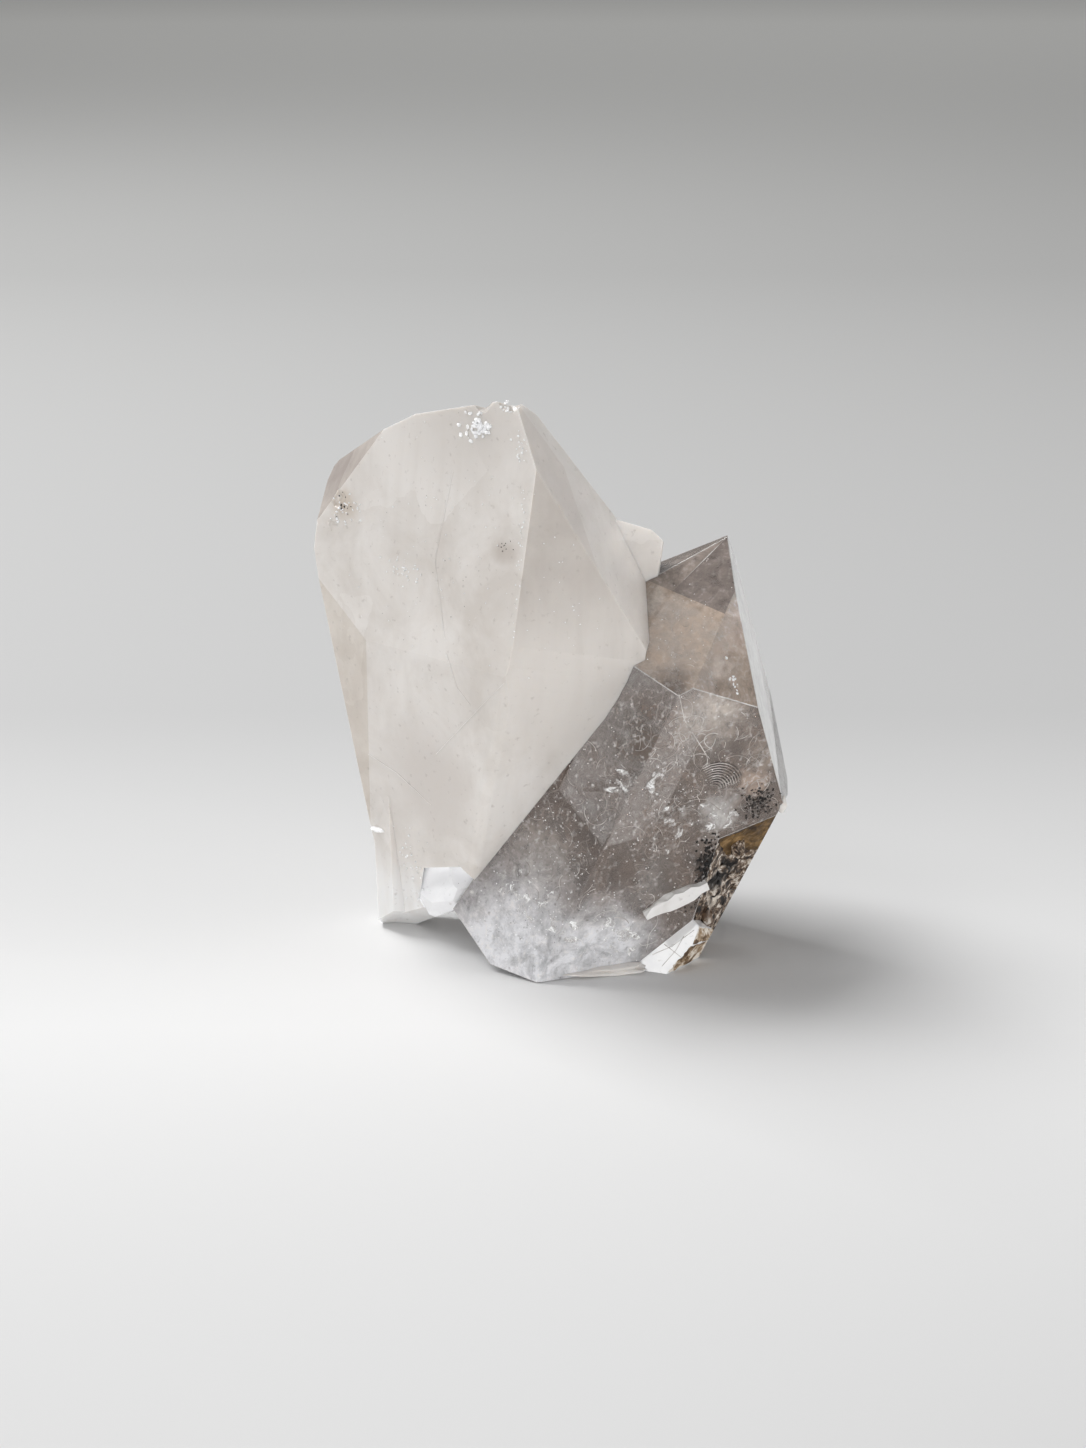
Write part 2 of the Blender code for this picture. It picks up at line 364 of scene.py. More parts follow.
STUB = Lattice((8.5, 3.5, 50.0), (7.5, 3.0))
STUB_FACES = STUB.ring(8.0, PRISM, (10.2, 9.1, 7.2, 9.0, 8.0, 8.0)) + [
    STUB.face(*face) for face in (
        (97.0, 90.0, 5.1), (156.6, 19.3, 14.4), (119.6, 39.4, 13.0), (170.0, 48.0, 17.0),
        (150.0, 128.0, 20.0), (80.0, 112.0, 16.0))]

SMOKY = Lattice((10.5, -4.0, 32.5), (24.6, -1.8))
SMOKY_FACES = (
    SMOKY.ring(-35.6, PRISM, (13.2, 16.5, 27.3, 24.8, 22.0, 14.0))
    + SMOKY.ring(-35.6, POINT, (20.5, 24.2, 23.2, 27.8, 25.4, 22.4))
    + [SMOKY.face(*face) for face in (
        (-113.5, 159.5, 34.2), (83.0, 163.5, 34.0), (90.0, 91.5, 27.9), (38.5, 97.5, 22.0),
        (165.0, 138.0, 29.0), (77.0, 91.2, 26.1))])
LEFT_FRONT, RIGHT_FRONT, POINT_LEFT, POINT_RIGHT = (SMOKY_FACES[k] for k in (0, 1, 6, 7))
BROKEN_SIDE = SMOKY_FACES[-1]              # the right side, broken off down to the bright corner
FLANK = SMOKY.face(61.5, 83.5, 20.2)       # the broken right flank
LEDGE = SMOKY.face(41.0, 109.5, 19.6)      # the stained ledge over it
CONTACT = SMOKY.face(-100.4, 82.0, 7.4)    # the root of the cloudy crystal grew over this corner
UNDER_CLOUDY = (place((0.0, 0.0, 17.0)), DOWN)
FAR_BELOW = -140.0                         # mm, what is cut away reaches well below the foot
print("faces", len(CLOUDY_FACES), "cloudy,", len(STUB_FACES), "stub,", len(SMOKY_FACES), "smoky")


def sunk(faces, depth):
    """The same faces, moved inwards."""
    return [(point - normal * depth * MM, normal) for point, normal in faces]


def smoky_block(depth=0.0):
    """The smoky crystal without its right flank and its left corner, or a block a depth inside it."""
    block = cut_block(sunk(SMOKY_FACES, depth), depth or SPARE)
    for step in ((FLANK, LEDGE), (CONTACT, UNDER_CLOUDY)):
        gone = cut_block([(point, -normal) for point, normal in sunk(step, depth)], FAR_BELOW)
        block = combine(block, gone, "DIFFERENCE")
    return block


# %% [markdown]
# ## The smoky crystal
#
# Smoky quartz is clear glass-like quartz with a grey-brown tint all through it, so it bends light at its
# faces and takes a little colour away along the path. Plain transmission, quartz's own IOR of 1.544 and a
# thin absorption give that; a brown colour on the surface would be the same however thick the stone is. The
# crystal goes right through the cluster: the cloudy crystals are cut where it passes, so light can run
# through all of it.

# %% The smoky crystal
smoky_quartz, tree = new_material("smoky quartz")
body = node(tree, "BsdfPrincipled", Base_Color="#ffffff", Roughness=0.02, IOR=1.544, Transmission_Weight=1.0)
smoke = node(tree, "VolumeAbsorption", Color="#93857c", Density=12.0)
node(tree, "OutputMaterial", Surface=body, Volume=smoke)

smoky_body = flat_foot(smoky_block())
wear(smoky_body, 0.2)
add("smoky_crystal", "smoky_quartz", smoky_body, smoky_quartz)

# %% [markdown]
# ## Cloudy quartz
#
# Cloudy quartz is full of tiny bubbles of old brine. Light enters it and is scattered back, so it looks
# soft and white. A plain white would look like plaster, so noise at four sizes draws drifting clouds,
# blocks of growth, upright streaks and fine dark grains, and subsurface scattering lets the light in.
# Where a face of the real crystal is lighter or darker, a zone with a wavy rim changes the colour.

# %% Places and waves in a pattern
def near(tree, where, centre, inner, outer):
    """One inside a ball round the centre, falling to nothing at the outer radius, in mm."""
    away = node(tree, "VectorMath", {"operation": "DISTANCE"}, "Value", _0=where, _1=place(centre))
    return node(tree, "MapRange", {"interpolation_type": "SMOOTHSTEP"}, Value=away, From_Min=inner * MM,
                From_Max=outer * MM, To_Min=1.0, To_Max=0.0)


def zoned(tree, where, colour, zones):
    """A colour that changes in places: centre, inner and outer radius in mm, colour."""
    for centre, inner, outer, zone_colour in zones:
        share = near(tree, where, centre, inner, outer)
        colour = node(tree, "Mix", COLOURS, 2, _0=share, _6=colour, _7=zone_colour)
    return colour


def wavy(tree, where, wave, detail, reach):
    """Coordinates pushed about by noise; the size of a wave and its reach are in mm."""
    drift = node(tree, "TexNoise", out="Color", Vector=where, Scale=cells(wave), Detail=detail)
    drift = node(tree, "VectorMath", {"operation": "SUBTRACT"}, _0=drift, _1=(0.5, 0.5, 0.5))
    return node(tree, "VectorMath", {"operation": "MULTIPLY_ADD"}, _0=drift, _1=place([reach] * 3), _2=where)


# %% Cloudy quartz
def quartz_material(name, light, dark, roughness, scatter=0.0, zones=(), coat=0.0):
    """Quartz with clouds between two colours; scatter is in mm, and a coat is a second, glossy skin."""
    material, tree = new_material(name)
    where = node(tree, "TexCoord", out="Object")
    warped = wavy(tree, where, 7.143, 4.0, 6.0)
    cloud = node(tree, "TexNoise", Vector=where, Scale=cells(13.33), Detail=8.0, Roughness=0.62,
                 Distortion=0.4)
    block = node(tree, "TexVoronoi", out="Color", Vector=warped, Scale=cells(13.33))
    block = node(tree, "SeparateXYZ", Vector=block)
    block = node(tree, "Math", MULTIPLY_ADD, _0=block, _1=0.3, _2=-0.15)
    tint = node(tree, "Math", ADD, _0=cloud, _1=block)
    tint = node(tree, "ValToRGB", {"stops": [(0.36, dark), (0.64, light)]}, Fac=tint)
    tint = zoned(tree, warped, tint, zones)
    upright = node(tree, "Mapping", Vector=where, Scale=(1.0, 1.0, 0.1))
    streak = node(tree, "TexNoise", Vector=upright, Scale=cells(2.381), Detail=3.0)
    streak = node(tree, "Math", MULTIPLY_ADD, _0=streak, _1=1.2, _2=-0.55)
    tint = node(tree, "Mix", COLOURS, 2, _0=streak, _6=tint, _7=dark)
    # real grains are a tenth of a millimetre; these are as coarse as they need to be to show
    grain = node(tree, "TexNoise", Vector=where, Scale=cells(0.9091), Detail=3.0)
    grain = node(tree, "Math", MULTIPLY_ADD, _0=grain, _1=3.0, _2=-1.9)
    tint = node(tree, "Mix", COLOURS, 2, _0=grain, _6=tint, _7="#a8a09a")
    relief = node(tree, "Bump", Strength=0.35, Distance=0.12 * MM, Height=cloud)
    body = node(tree, "BsdfPrincipled", Base_Color=tint, Roughness=roughness, IOR=1.544, Normal=relief,
                Coat_Weight=coat, Subsurface_Weight=1.0 if scatter else 0.0,
                Subsurface_Scale=scatter * MM, Subsurface_Radius=(1.0, 0.95, 0.9))
    node(tree, "OutputMaterial", Surface=body)
    return material


SCATTER = 0.6      # mm, how far light spreads in cloudy quartz
# grown faces: soft and white, each a little lighter or darker
cloudy_quartz = quartz_material("cloudy quartz", "#e4e0dc", "#d2ccc6", 0.2, SCATTER, (
    ((-14.0, -14.0, 88.0), 2.0, 18.0, "#d6d1cc"), ((-33.0, 1.0, 70.0), 0.5, 4.0, "#cfc4b8"),
    ((-24.0, 2.0, 3.0), 4.0, 14.0, "#ebeae9"), ((-7.0, -20.0, 68.5), 0.4, 3.0, "#c6beb7"),
    ((6.0, -19.0, 38.0), 3.0, 12.0, "#dfdad5"), ((-19.0, -8.0, 29.0), 3.0, 14.0, "#d3cdc8"),
    ((3.0, -19.5, 45.0), 7.0, 14.0, "#dad5d0")))
# painted shade: the right front face turns from the lamps and is a darker copy of the same quartz; it is a
# little lighter over its lower part and darker towards the top
cloudy_front_painted_shade = quartz_material("cloudy quartz of the right front face, with painted shade", "#cdc7c1", "#bfb8b2", 0.2, SCATTER,
                               (((3.0, -20.0, 10.0), 42.0, 56.0, "#dad5d0"),))
# painted light: the right side is a lighter copy of the same quartz; the stub, the toe and the knob use it
# too
cloudy_right = quartz_material("cloudy quartz of the right side, painted lighter", "#ebe7e3", "#dcd7d2", 0.2, SCATTER)
dark_wedge = quartz_material("dark wedge of the right side", "#e4ded9", "#d6d0cb", 0.2, SCATTER)
cloudy_left = quartz_material("cloudy quartz of the left edge", "#d9d2ca", "#c9c0b7", 0.2, SCATTER)
# fewer bubbles: the view goes deeper in, so it is darker
clear_shoulder = quartz_material("clear quartz of the shoulder", "#cbc2bb", "#aaa09a", 0.1)
# fresh and glassy: white, with sharp glints
broken_quartz = quartz_material("freshly broken quartz", "#ffffff", "#f1f1f3", 0.15)
# streaked or etched by growth: white and half matt
growth_quartz = quartz_material("streaky white flake", "#f0eeec", "#b9b2ac", 0.3)
growth_line = quartz_material("growth line", "#f4f1ee", "#e2ddd8", 0.3)
# split off flat: a mirror
bright_quartz = quartz_material("mirror flat bright quartz", "#ffffff", "#e3e4e8", 0.05, coat=1.0)

# %% [markdown]
# ## Finding and finishing single faces
#
# Each face of the real crystal has its own tone, because each meets the light and the veins inside the
# stone in its own way. Two faces carry painted light: the right front face is a darker copy of the cloudy
# quartz, as painted shade, and the right side a lighter copy, as painted light. A face is found by its
# plane, and a tone that ends in the middle of a face gets a straight cut there, as a growth boundary has.
# Some edges of the cloudy crystal were blurred by later growth: a fan of narrow faces rounds them, which
# keeps the crystal one convex block.

# %% Faces and ridges
FRESH, SIDE, CLEAR, EDGE, FRONT, WEDGE = range(1, 7)      # finishes of the cloudy crystal; the rest is 0
FACE_KINDS = ((SIDE, RIGHT_SIDE), (CLEAR, SHOULDER), (EDGE, LEFT_SLIVER), (FRONT, FRONT_RIGHT))


SAME_WAY = 0.999   # cosine of the angle up to which two normals count as one
CLOSE = 0.2        # mm, a face this close to a plane lies on it


def lies_on(face, plane):
    """Whether a face of the mesh lies in a plane."""
    point, normal = plane
    away = abs(normal.dot(face.calc_center_median() - point))
    return face.normal.dot(normal) > SAME_WAY and away < CLOSE * MM


def recoloured(bm, kind, start, end, other, out=None):
    """Cut the faces of one kind along a line; what lies at the left of the line becomes another kind."""
    chosen = [face for face in bm.faces if face.material_index == kind]
    line = place(end) - place(start)
    left = line.cross(out or chosen[0].normal).normalized() * -1.0
    parts = {part for face in chosen for part in (*face.verts, *face.edges)}
    bmesh.ops.bisect_plane(bm, geom=chosen + list(parts), plane_co=place(start), plane_no=left)
    for face in bm.faces:
        if face.material_index == kind and left.dot(face.calc_center_median() - place(start)) > 0.0:
            face.material_index = other


def rounded(first, second, radius, steps):
    """Faces that round the edge between two faces, where growth has blurred it."""
    (first_point, first_normal), (second_point, second_normal) = sunk((first, second), radius)
    middle, _ = intersect_plane_plane(first_point, first_normal, second_point, second_normal)
    between = [first_normal.slerp(second_normal, step / (steps + 1)) for step in range(1, steps + 1)]
    return [(middle + normal * radius * MM, normal) for normal in between]


SOFT_RIDGES = rounded(FRONT_ROOT, FRONT_LEFT_ROOT, 2.5, 5) + rounded(FRONT_ROOT, FRONT_RIGHT, 40.0, 3)
print("soft ridges", len(SOFT_RIDGES), "narrow faces")

# %% [markdown]
# ## The cloudy crystal and its root
#
# The broad cloudy crystal lost chips at its top and at its edges, and its root broke off: two splinters
# stand at the left foot, and a deep break opens between the crystals. Splinters and lumps are joined to
# the block, uneven balls cut the shell-shaped chips out of it, and a small prism that lies on its side
# cuts the break. The faces of a break get the second material of the piece, because a fresh break is
# whiter than an old crystal face.

# %% Balls and lumps
def fresh(bm):
    """Mark all faces as freshly broken."""
    for face in bm.faces:
        face.material_index = FRESH
    return bm


def ball(centre, radius, detail=2, rough=0.0, seed=0):
    """The tool for a shell-shaped break: a ball whose faces are flat, or uneven if rough."""
    bm = bmesh.new()
    bmesh.ops.create_icosphere(bm, subdivisions=detail, radius=radius * MM)
    for vert in bm.verts:
        vert.co *= 1.0 + rough * noise.noise(vert.co / (radius * MM) * 1.7 + Vector((seed, 0.0, 0.0)))
    bmesh.ops.translate(bm, verts=bm.verts[:], vec=place(centre))
    return bm


GROWN = 1.1        # a lump is made a tenth larger, because its flat faces cut inside the round form


def lump(centre, half_sizes, turn, detail=2, rough=0.12, seed=0):
    """A small uneven lump."""
    bm = ball((0.0, 0.0, 0.0), 1.0 / MM, detail, rough, seed)
    bmesh.ops.scale(bm, verts=bm.verts[:], vec=place(half_sizes) * GROWN)
    turned = Matrix.Rotation(math.radians(turn), 4, "Z")
    bmesh.ops.transform(bm, matrix=Matrix.Translation(place(centre)) @ turned, verts=bm.verts[:])
    return bm


# %% Splinters, chips and the break
def shard(middle, lean, turn, radius, top, bottom, seed):
    """A small splinter of quartz: a prism of uneven width with a slanting top."""
    dice = random.Random(seed)
    grown = Lattice(middle, lean)
    sides = grown.ring(turn, PRISM, [radius * dice.uniform(0.8, 1.15) for _ in range(6)])
    slant = grown.face(dice.uniform(0.0, 360.0), dice.uniform(20.0, 45.0), top)
    return cut_block(sides + [slant, grown.face(0.0, 180.0, bottom)])


FOOT_SHARDS = (                            # middle, lean, turn, radius and top
    ((-24.6, 3.6, 6.0), (-1.0, -5.0), 10.0, 3.2, 17.0), ((-21.6, 2.7, 6.0), (4.0, -5.0), 35.0, 2.2, 14.0))
FOOT_UNDERSIDE = (place((-24.0, 1.0, 3.4)), Vector((0.05, -0.6, -0.8)))
ROOT_LUMPS = (                             # centre, half sizes and turn
    ((-17.2, -0.6, 5.4), (2.6, 1.8, 1.0), -35.0), ((-27.0, 1.2, 17.4), (2.0, 0.9, 0.4), -30.0))
CHIPS = (                                  # centre and radius
    ((-11.0, -15.5, 89.9), 2.6), ((-16.5, -12.5, 88.0), 1.9), ((-6.2, -18.0, 90.2), 2.2),
    ((-33.9, 0.6, 71.0), 2.4), ((-35.0, 1.4, 66.6), 1.8), ((-12.0, 9.0, 84.0), 5.0),
    ((-8.0, 24.0, 8.0), 9.0), ((26.0, 12.0, 2.0), 8.0))
BREAK = Lattice((-16.5, -5.8, 9.3), (0.0, -73.0))      # its long axis points out of the break
BREAK_SIDES = [BREAK.face(*face) for face in (
    (184.0, 90.0, 4.2), (137.0, 90.0, 4.7), (58.3, 90.0, 5.5), (26.0, 90.0, 2.8), (-99.8, 90.0, 4.3),
    (0.0, 180.0, 4.0))]

# %% The cloudy crystal
cloudy_body = cut_block(CLOUDY_FACES + SOFT_RIDGES)
bmesh.ops.remove_doubles(cloudy_body, verts=cloudy_body.verts[:], dist=0.1 * MM)
for number, shape in enumerate(ROOT_LUMPS):
    cloudy_body = combine(cloudy_body, fresh(lump(*shape, detail=3, rough=0.3, seed=number)), "UNION")
for number, shape in enumerate(FOOT_SHARDS):
    splinter = shard(*shape, bottom=9.0, seed=number)
    slice_off(splinter, *FOOT_UNDERSIDE)
    bmesh.ops.recalc_face_normals(splinter, faces=splinter.faces[:])
    cloudy_body = combine(cloudy_body, splinter, "UNION")
cloudy_body = combine(cloudy_body, fresh(cut_block(BREAK_SIDES)), "DIFFERENCE")
for number, (centre, radius) in enumerate(CHIPS):
    cloudy_body = combine(cloudy_body, ball(centre, radius, 3, 0.3, number), "DIFFERENCE")
cloudy_body = combine(cloudy_body, smoky_block(), "DIFFERENCE")
for face in cloudy_body.faces:
    if face.material_index != FRESH:
        kinds = [number for number, plane in FACE_KINDS if lies_on(face, plane)]
        face.material_index = kinds[0] if kinds else 0
WEDGE_TOP, WEDGE_CORNER, WEDGE_END = (-5.6, -18.9, 89.8), (1.5, -14.0, 79.0), (6.2, -18.8, 65.3)
recoloured(cloudy_body, SIDE, WEDGE_CORNER, WEDGE_TOP, WEDGE)
recoloured(cloudy_body, WEDGE, WEDGE_CORNER, WEDGE_END, SIDE)
add("cloudy_crystal", "cloudy_quartz", flat_foot(cloudy_body), cloudy_quartz, broken_quartz,
    cloudy_right, clear_shoulder, cloudy_left, cloudy_front_painted_shade, dark_wedge)

# %% [markdown]
# ## The bright chip, the stub and the bright corner
#
# In the break sits a bright, glassy chip with a front of small facets. Behind the right shoulder stands
# the stub of a third crystal, and at the foot of the smoky crystal one corner has split off flat as a
# mirror. They could be part of the big crystals; as pieces of their own they keep their own finish and edges.
# All three are blocks cut by planes, as the crystals are, and end where the smoky crystal begins.

# %% Chip, stub and corner
BREAK_FRONT = [BREAK.face(*face) for face in (
    (-105.0, 47.0, 1.0), (-70.0, 34.0, 1.0), (-20.0, 56.0, 1.5), (-62.0, 66.0, 2.4), (170.0, 30.0, 2.6),
    (20.0, 30.0, 2.0))]
CORNER = Lattice((18.7, -10.0, 3.0), (0.0, 0.0))
CORNER_FACES = [CORNER.face(*face) for face in (
    (-22.6, 51.0, 3.4), (56.8, 90.4, 5.2), (52.4, 117.0, 4.3), (-75.0, 80.0, 8.0), (180.0, 90.0, 0.0),
    (90.0, 37.0, 5.3))] + [BROKEN_SIDE]

chunk_body = cut_block(BREAK_SIDES + BREAK_FRONT)
wear(chunk_body, 0.05, segments=1)
add("broken_chunk", "cloudy_quartz", combine(chunk_body, smoky_block(), "DIFFERENCE"), broken_quartz)

stub_body = cut_block(STUB_FACES)
wear(stub_body, 0.06, segments=1)
add("stub_crystal", "cloudy_quartz", combine(stub_body, smoky_block(), "DIFFERENCE"), cloudy_right)

corner_body = flat_foot(cut_block(CORNER_FACES))
wear(corner_body, 0.1)
add("bright_corner", "cloudy_quartz", combine(corner_body, smoky_block(), "DIFFERENCE"), bright_quartz)

# %% [markdown]
# ## Crust, a finish of iron
#
# Iron oxide has settled on the broken flank: tan where it is thin, rusty brown and black where it is thick,
# with pale grains of quartz between. It is dull and rough beside the glassy faces. A painted picture could
# show it from one side only; noise cut into bands of colour works from all sides.

# %% Crust materials
def crust_material(name, patch, stops, zones=()):
    """A dull crust; a patch has a size in mm, coarser than the real grains so that it shows."""
    material, tree = new_material(name)
    where = node(tree, "TexCoord", out="Object")
    patches = node(tree, "TexNoise", Vector=where, Scale=cells(patch), Detail=7.0, Roughness=0.72,
                   Distortion=0.5)
    relief = node(tree, "Bump", Strength=0.6, Distance=0.1 * MM, Height=patches)
    tint = node(tree, "ValToRGB", {"stops": stops}, Fac=patches)
    tint = zoned(tree, wavy(tree, where, 2.5, 4.0, 9.0), tint, zones)
    body = node(tree, "BsdfPrincipled", Base_Color=tint, Roughness=0.55, Normal=relief)
    node(tree, "OutputMaterial", Surface=body)
    return material


# thick, over broken quartz: black to rust, with pale grains
iron_crust = crust_material(
    "black and rusty crust", 1.25,
    [(0.42, "#15110f"), (0.48, "#4f3d30"), (0.53, "#927e6a"), (0.6, "#e9e2d9")],
    (((26.2, -8.4, 13.8), 2.2, 4.3, "#120e0c"), ((25.4, -8.4, 9.0), 0.5, 2.6, "#d9cfc2"),
     ((24.6, -8.6, 6.0), 0.5, 3.0, "#6a5442")))
# a thin stain in the steps of a break: pale with brown streaks
rim_crust = crust_material(
    "streaky stained rim", 2.381, [(0.38, "#4e3824"), (0.47, "#a38a6c"), (0.54, "#e9e1d6")])
# grains of iron oxide: nearly black and dull
black_crust = crust_material(
    "black crust", 1.429, [(0.5, "#0d0b0a"), (0.62, "#4d4038"), (0.7, "#cfc6bb")])
# rust rubbed thin: tan
tan_crust = crust_material(
    "tan stained ledge", 4.167, [(0.38, "#2a1d11"), (0.5, "#5f4829"), (0.6, "#8f7149"), (0.72, "#c4ab82")])

# %% [markdown]
# ## Lumps and the white flake
#
# Small lumps break up the clean planes: a long toe along the foot, a knob on the right side and a rough,
# stained row down the flank. Sculpting would do for one; here each is a ball pulled and dented by noise, so
# its size stays a number. The white flake is a thin leaf of quartz that stands out of the flank: a flat
# block, narrowed to both ends, with wavy rims.

# %% Lumps
ROUGH_FLANK = (                            # centre, half sizes and turn
    ((28.8, -10.6, 18.4), (1.0, 0.9, 1.2), 15.0), ((26.3, -9.6, 14.6), (1.1, 0.9, 0.9), 40.0),
    ((24.9, -8.2, 11.0), (0.9, 1.2, 1.2), 70.0), ((24.0, -9.6, 6.8), (0.9, 1.0, 1.4), 25.0))

toe_body = lump((7.6, -15.9, 0.5), (7.6, 2.0, 0.7), 9.0, detail=4, rough=0.4)
add("toe", "cloudy_quartz", flat_foot(toe_body), cloudy_right)
knob_body = lump((35.2, -9.9, 25.4), (0.8, 0.9, 1.15), 20.0, rough=0.4)
add("side_knob", "cloudy_quartz", knob_body, cloudy_right)
for number, shape in enumerate(ROUGH_FLANK):
    flank_body = lump(*shape, detail=4, rough=0.5, seed=number)
    add("flank_lump_" + str(number), "iron_stain", flank_body, iron_crust)

# %% The white flake
FLAKE_START, FLAKE_END = (14.0, -16.1, 9.6), (23.6, -12.9, 13.6)
FLAKE_OUT = Vector((0.37, -0.91, -0.2))
FLAKE_THICK, FLAKE_TALL = 1.8, 2.9         # mm


def flake():
    """A flat leaf, widest in its middle, blunt at its upper end."""
    start, end = place(FLAKE_START), place(FLAKE_END)
    along = (end - start).normalized()
    up = FLAKE_OUT.cross(along).normalized()
    bm = bmesh.new()
    bmesh.ops.create_cube(bm, size=1.0)
    bmesh.ops.subdivide_edges(bm, edges=bm.edges[:], cuts=7, use_grid_fill=True)
    bmesh.ops.scale(bm, verts=bm.verts[:], vec=((end - start).length, FLAKE_THICK * MM, FLAKE_TALL * MM))
    for vert in bm.verts:
        share = vert.co.x / (end - start).length + 0.5
        # narrow at both ends, but blunt at the upper one, and then wavy in height and thickness
        vert.co.z *= 0.2 + 0.8 * math.sin(math.pi * min(0.88, share))
        vert.co.z += 0.7 * MM * noise.noise(vert.co / (1.5 * MM))
        vert.co.y += 0.15 * MM * noise.noise(vert.co / (0.8 * MM) + Vector((5.0, 0.0, 0.0)))
    turned = Matrix((along, along.cross(up), up)).transposed().to_4x4()
    bmesh.ops.transform(bm, matrix=Matrix.Translation((start + end) / 2) @ turned, verts=bm.verts[:])
    bmesh.ops.recalc_face_normals(bm, faces=bm.faces[:])
    return bm


add("white_flake", "cloudy_quartz", flake(), growth_quartz)

# %% [markdown]
# ## The dusty film on the smoky crystal
#
# Just under the faces of the real crystal lie layers of dust, bubbles and healed cracks, too many to model
# one by one. They dim the view into the stone, more in some places than in others. A thin shell, a hair's
# breadth outside the clear body, stands for them: partly see-through, grey-brown, with pale and dark dust
# and broken pale lines. It is milky white at the foot. Its edges are a little lighter, partly as worn edges
# are and partly as painted highlight. The shell also carries painted light: the right side is painted almost
# white as a painted reflection, and the top of the point and a sliver of the right side are painted darker
# as painted shade.

# %% Film materials
def film_material(name, colour, cover, zones=(), dust=1.0, uneven=(0.55, 1.3)):
    """A dusty film; a zone is its place, inner and outer radius in mm, colour and cover."""
    material, tree = new_material(name)
    where = node(tree, "TexCoord", out="Object")
    warped = wavy(tree, where, 4.348, 3.0, 7.0)
    cloud = node(tree, "TexNoise", Vector=where, Scale=cells(3.846), Detail=9.0, Roughness=0.75,
                 Distortion=0.35)
    tint = linear(colour)
    for centre, inner, outer, zone_colour, zone_cover in zones:
        share = near(tree, warped, centre, inner, outer)
        tint = node(tree, "Mix", COLOURS, 2, _0=share, _6=tint, _7=zone_colour)
        cover = node(tree, "Mix", {"data_type": "FLOAT"}, _0=share, _2=cover, _3=zone_cover)
    share = node(tree, "MapRange", Value=cloud, From_Min=0.36, From_Max=0.64, To_Min=uneven[0],
                 To_Max=uneven[1])
    cover = node(tree, "Math", MULTIPLY, _0=cover, _1=share)
    # real dust is finer than a tenth of a millimetre; this is as coarse as it needs to be to show
    grain = node(tree, "TexNoise", Vector=where, Scale=cells(0.8), Detail=3.0)
    pale = node(tree, "Math", MULTIPLY_ADD, _0=grain, _1=4.0 * dust, _2=-2.25 * dust)
    tint = node(tree, "Mix", COLOURS, 2, _0=pale, _6=tint, _7="#efebe8")
    dark = node(tree, "Math", MULTIPLY_ADD, _0=grain, _1=-3.0 * dust, _2=1.2 * dust)
    tint = node(tree, "Mix", COLOURS, 2, _0=dark, _6=tint, _7="#4a403a")
    healed = node(tree, "TexVoronoi", {"feature": "DISTANCE_TO_EDGE"}, "Distance", Vector=warped,
                  Scale=cells(4.762))
    healed = node(tree, "MapRange", Value=healed, From_Min=0.0, From_Max=0.045, To_Min=1.0, To_Max=0.0)
    patchy = node(tree, "Math", MULTIPLY_ADD, _0=cloud, _1=4.0, _2=-1.7)
    patchy = node(tree, "Math", MULTIPLY, _0=healed, _1=patchy)
    patchy = node(tree, "Math", MULTIPLY, _0=patchy, _1=0.6 * dust)
    tint = node(tree, "Mix", COLOURS, 2, _0=patchy, _6=tint, _7="#e2ddda")
    body = node(tree, "BsdfPrincipled", Base_Color=tint, Roughness=0.08, IOR=1.544, Alpha=cover)
    node(tree, "OutputMaterial", Surface=body)
    return material


MILK = (((-6.0, -16.0, 1.0), 5.0, 23.0, "#e2e2e5", 0.92), ((8.0, -18.0, 2.0), 4.0, 14.0, "#e6e6e9", 0.9))

film_left = film_material("smoky film on the left front face", "#7f6f66", 0.5, (
    ((13.0, -20.5, 39.0), 2.0, 8.0, "#6c6058", 0.75), ((7.5, -20.5, 25.0), 2.0, 8.0, "#776b64", 0.65),
    ((-2.0, -16.5, 19.0), 1.0, 10.0, "#aea49d", 0.66), *MILK))
film_right = film_material("smoky film on the right front face", "#8a7a70", 0.55, (
    ((24.0, -19.0, 42.5), 1.0, 8.0, "#c4b9b0", 0.78), ((32.0, -13.0, 35.0), 1.0, 6.0, "#9b8d82", 0.75),
    ((24.0, -13.2, 15.0), 1.0, 4.0, "#3d322c", 0.95), ((21.8, -12.5, 10.0), 0.5, 3.0, "#66564a", 0.8),
    ((30.5, -13.6, 30.5), 1.0, 3.6, "#ab988b", 0.85), ((31.6, -12.4, 26.6), 0.5, 3.0, "#4d433d", 0.85),
    ((25.3, -15.0, 25.4), 1.0, 4.5, "#d8d3cf", 0.6), ((17.0, -19.0, 34.0), 1.0, 6.0, "#8b7e76", 0.6),
    ((14.8, -16.7, 15.5), 1.0, 5.0, "#a39a94", 0.6), ((23.2, -13.8, 17.6), 0.3, 2.6, "#2b231f", 0.95),
    *MILK))
film_point_left = film_material("smoky film on the left face of the point", "#beac9d", 0.8, (
    ((14.5, -8.0, 57.0), 1.0, 4.0, "#c9bdb3", 0.85), ((16.8, -19.8, 47.0), 1.5, 5.5, "#75675d", 0.8)), 0.4)
film_point_right = film_material("smoky film on the right face of the point", "#ae9e91", 0.8, (
    ((27.0, -2.0, 66.0), 8.0, 17.0, "#8c7f77", 0.82), ((22.0, -18.5, 46.0), 1.0, 6.0, "#a4958a", 0.76),
    ((25.6, -16.2, 48.6), 0.5, 3.0, "#ccbdb1", 0.8)), 0.5)
# worn or broken: pale, and it hides what is under it; the pale is partly wear and partly painted highlight
film_edge_wear_and_highlight = film_material("worn edge with painted highlight", "#c9c5c2", 0.7)
# painted reflection: the right side is painted almost white for the bright reflection it shows, greyer
# towards the back
film_painted_reflection = film_material("painted reflection on the right side", "#fdfdfc", 0.95, (
    ((36.0, 14.0, 30.0), 3.0, 20.0, "#cbc5c0", 0.86),), 0.6, (0.8, 1.08))
film_back = film_material("smoky film on the back", "#8a7a70", 0.4, MILK[:1])
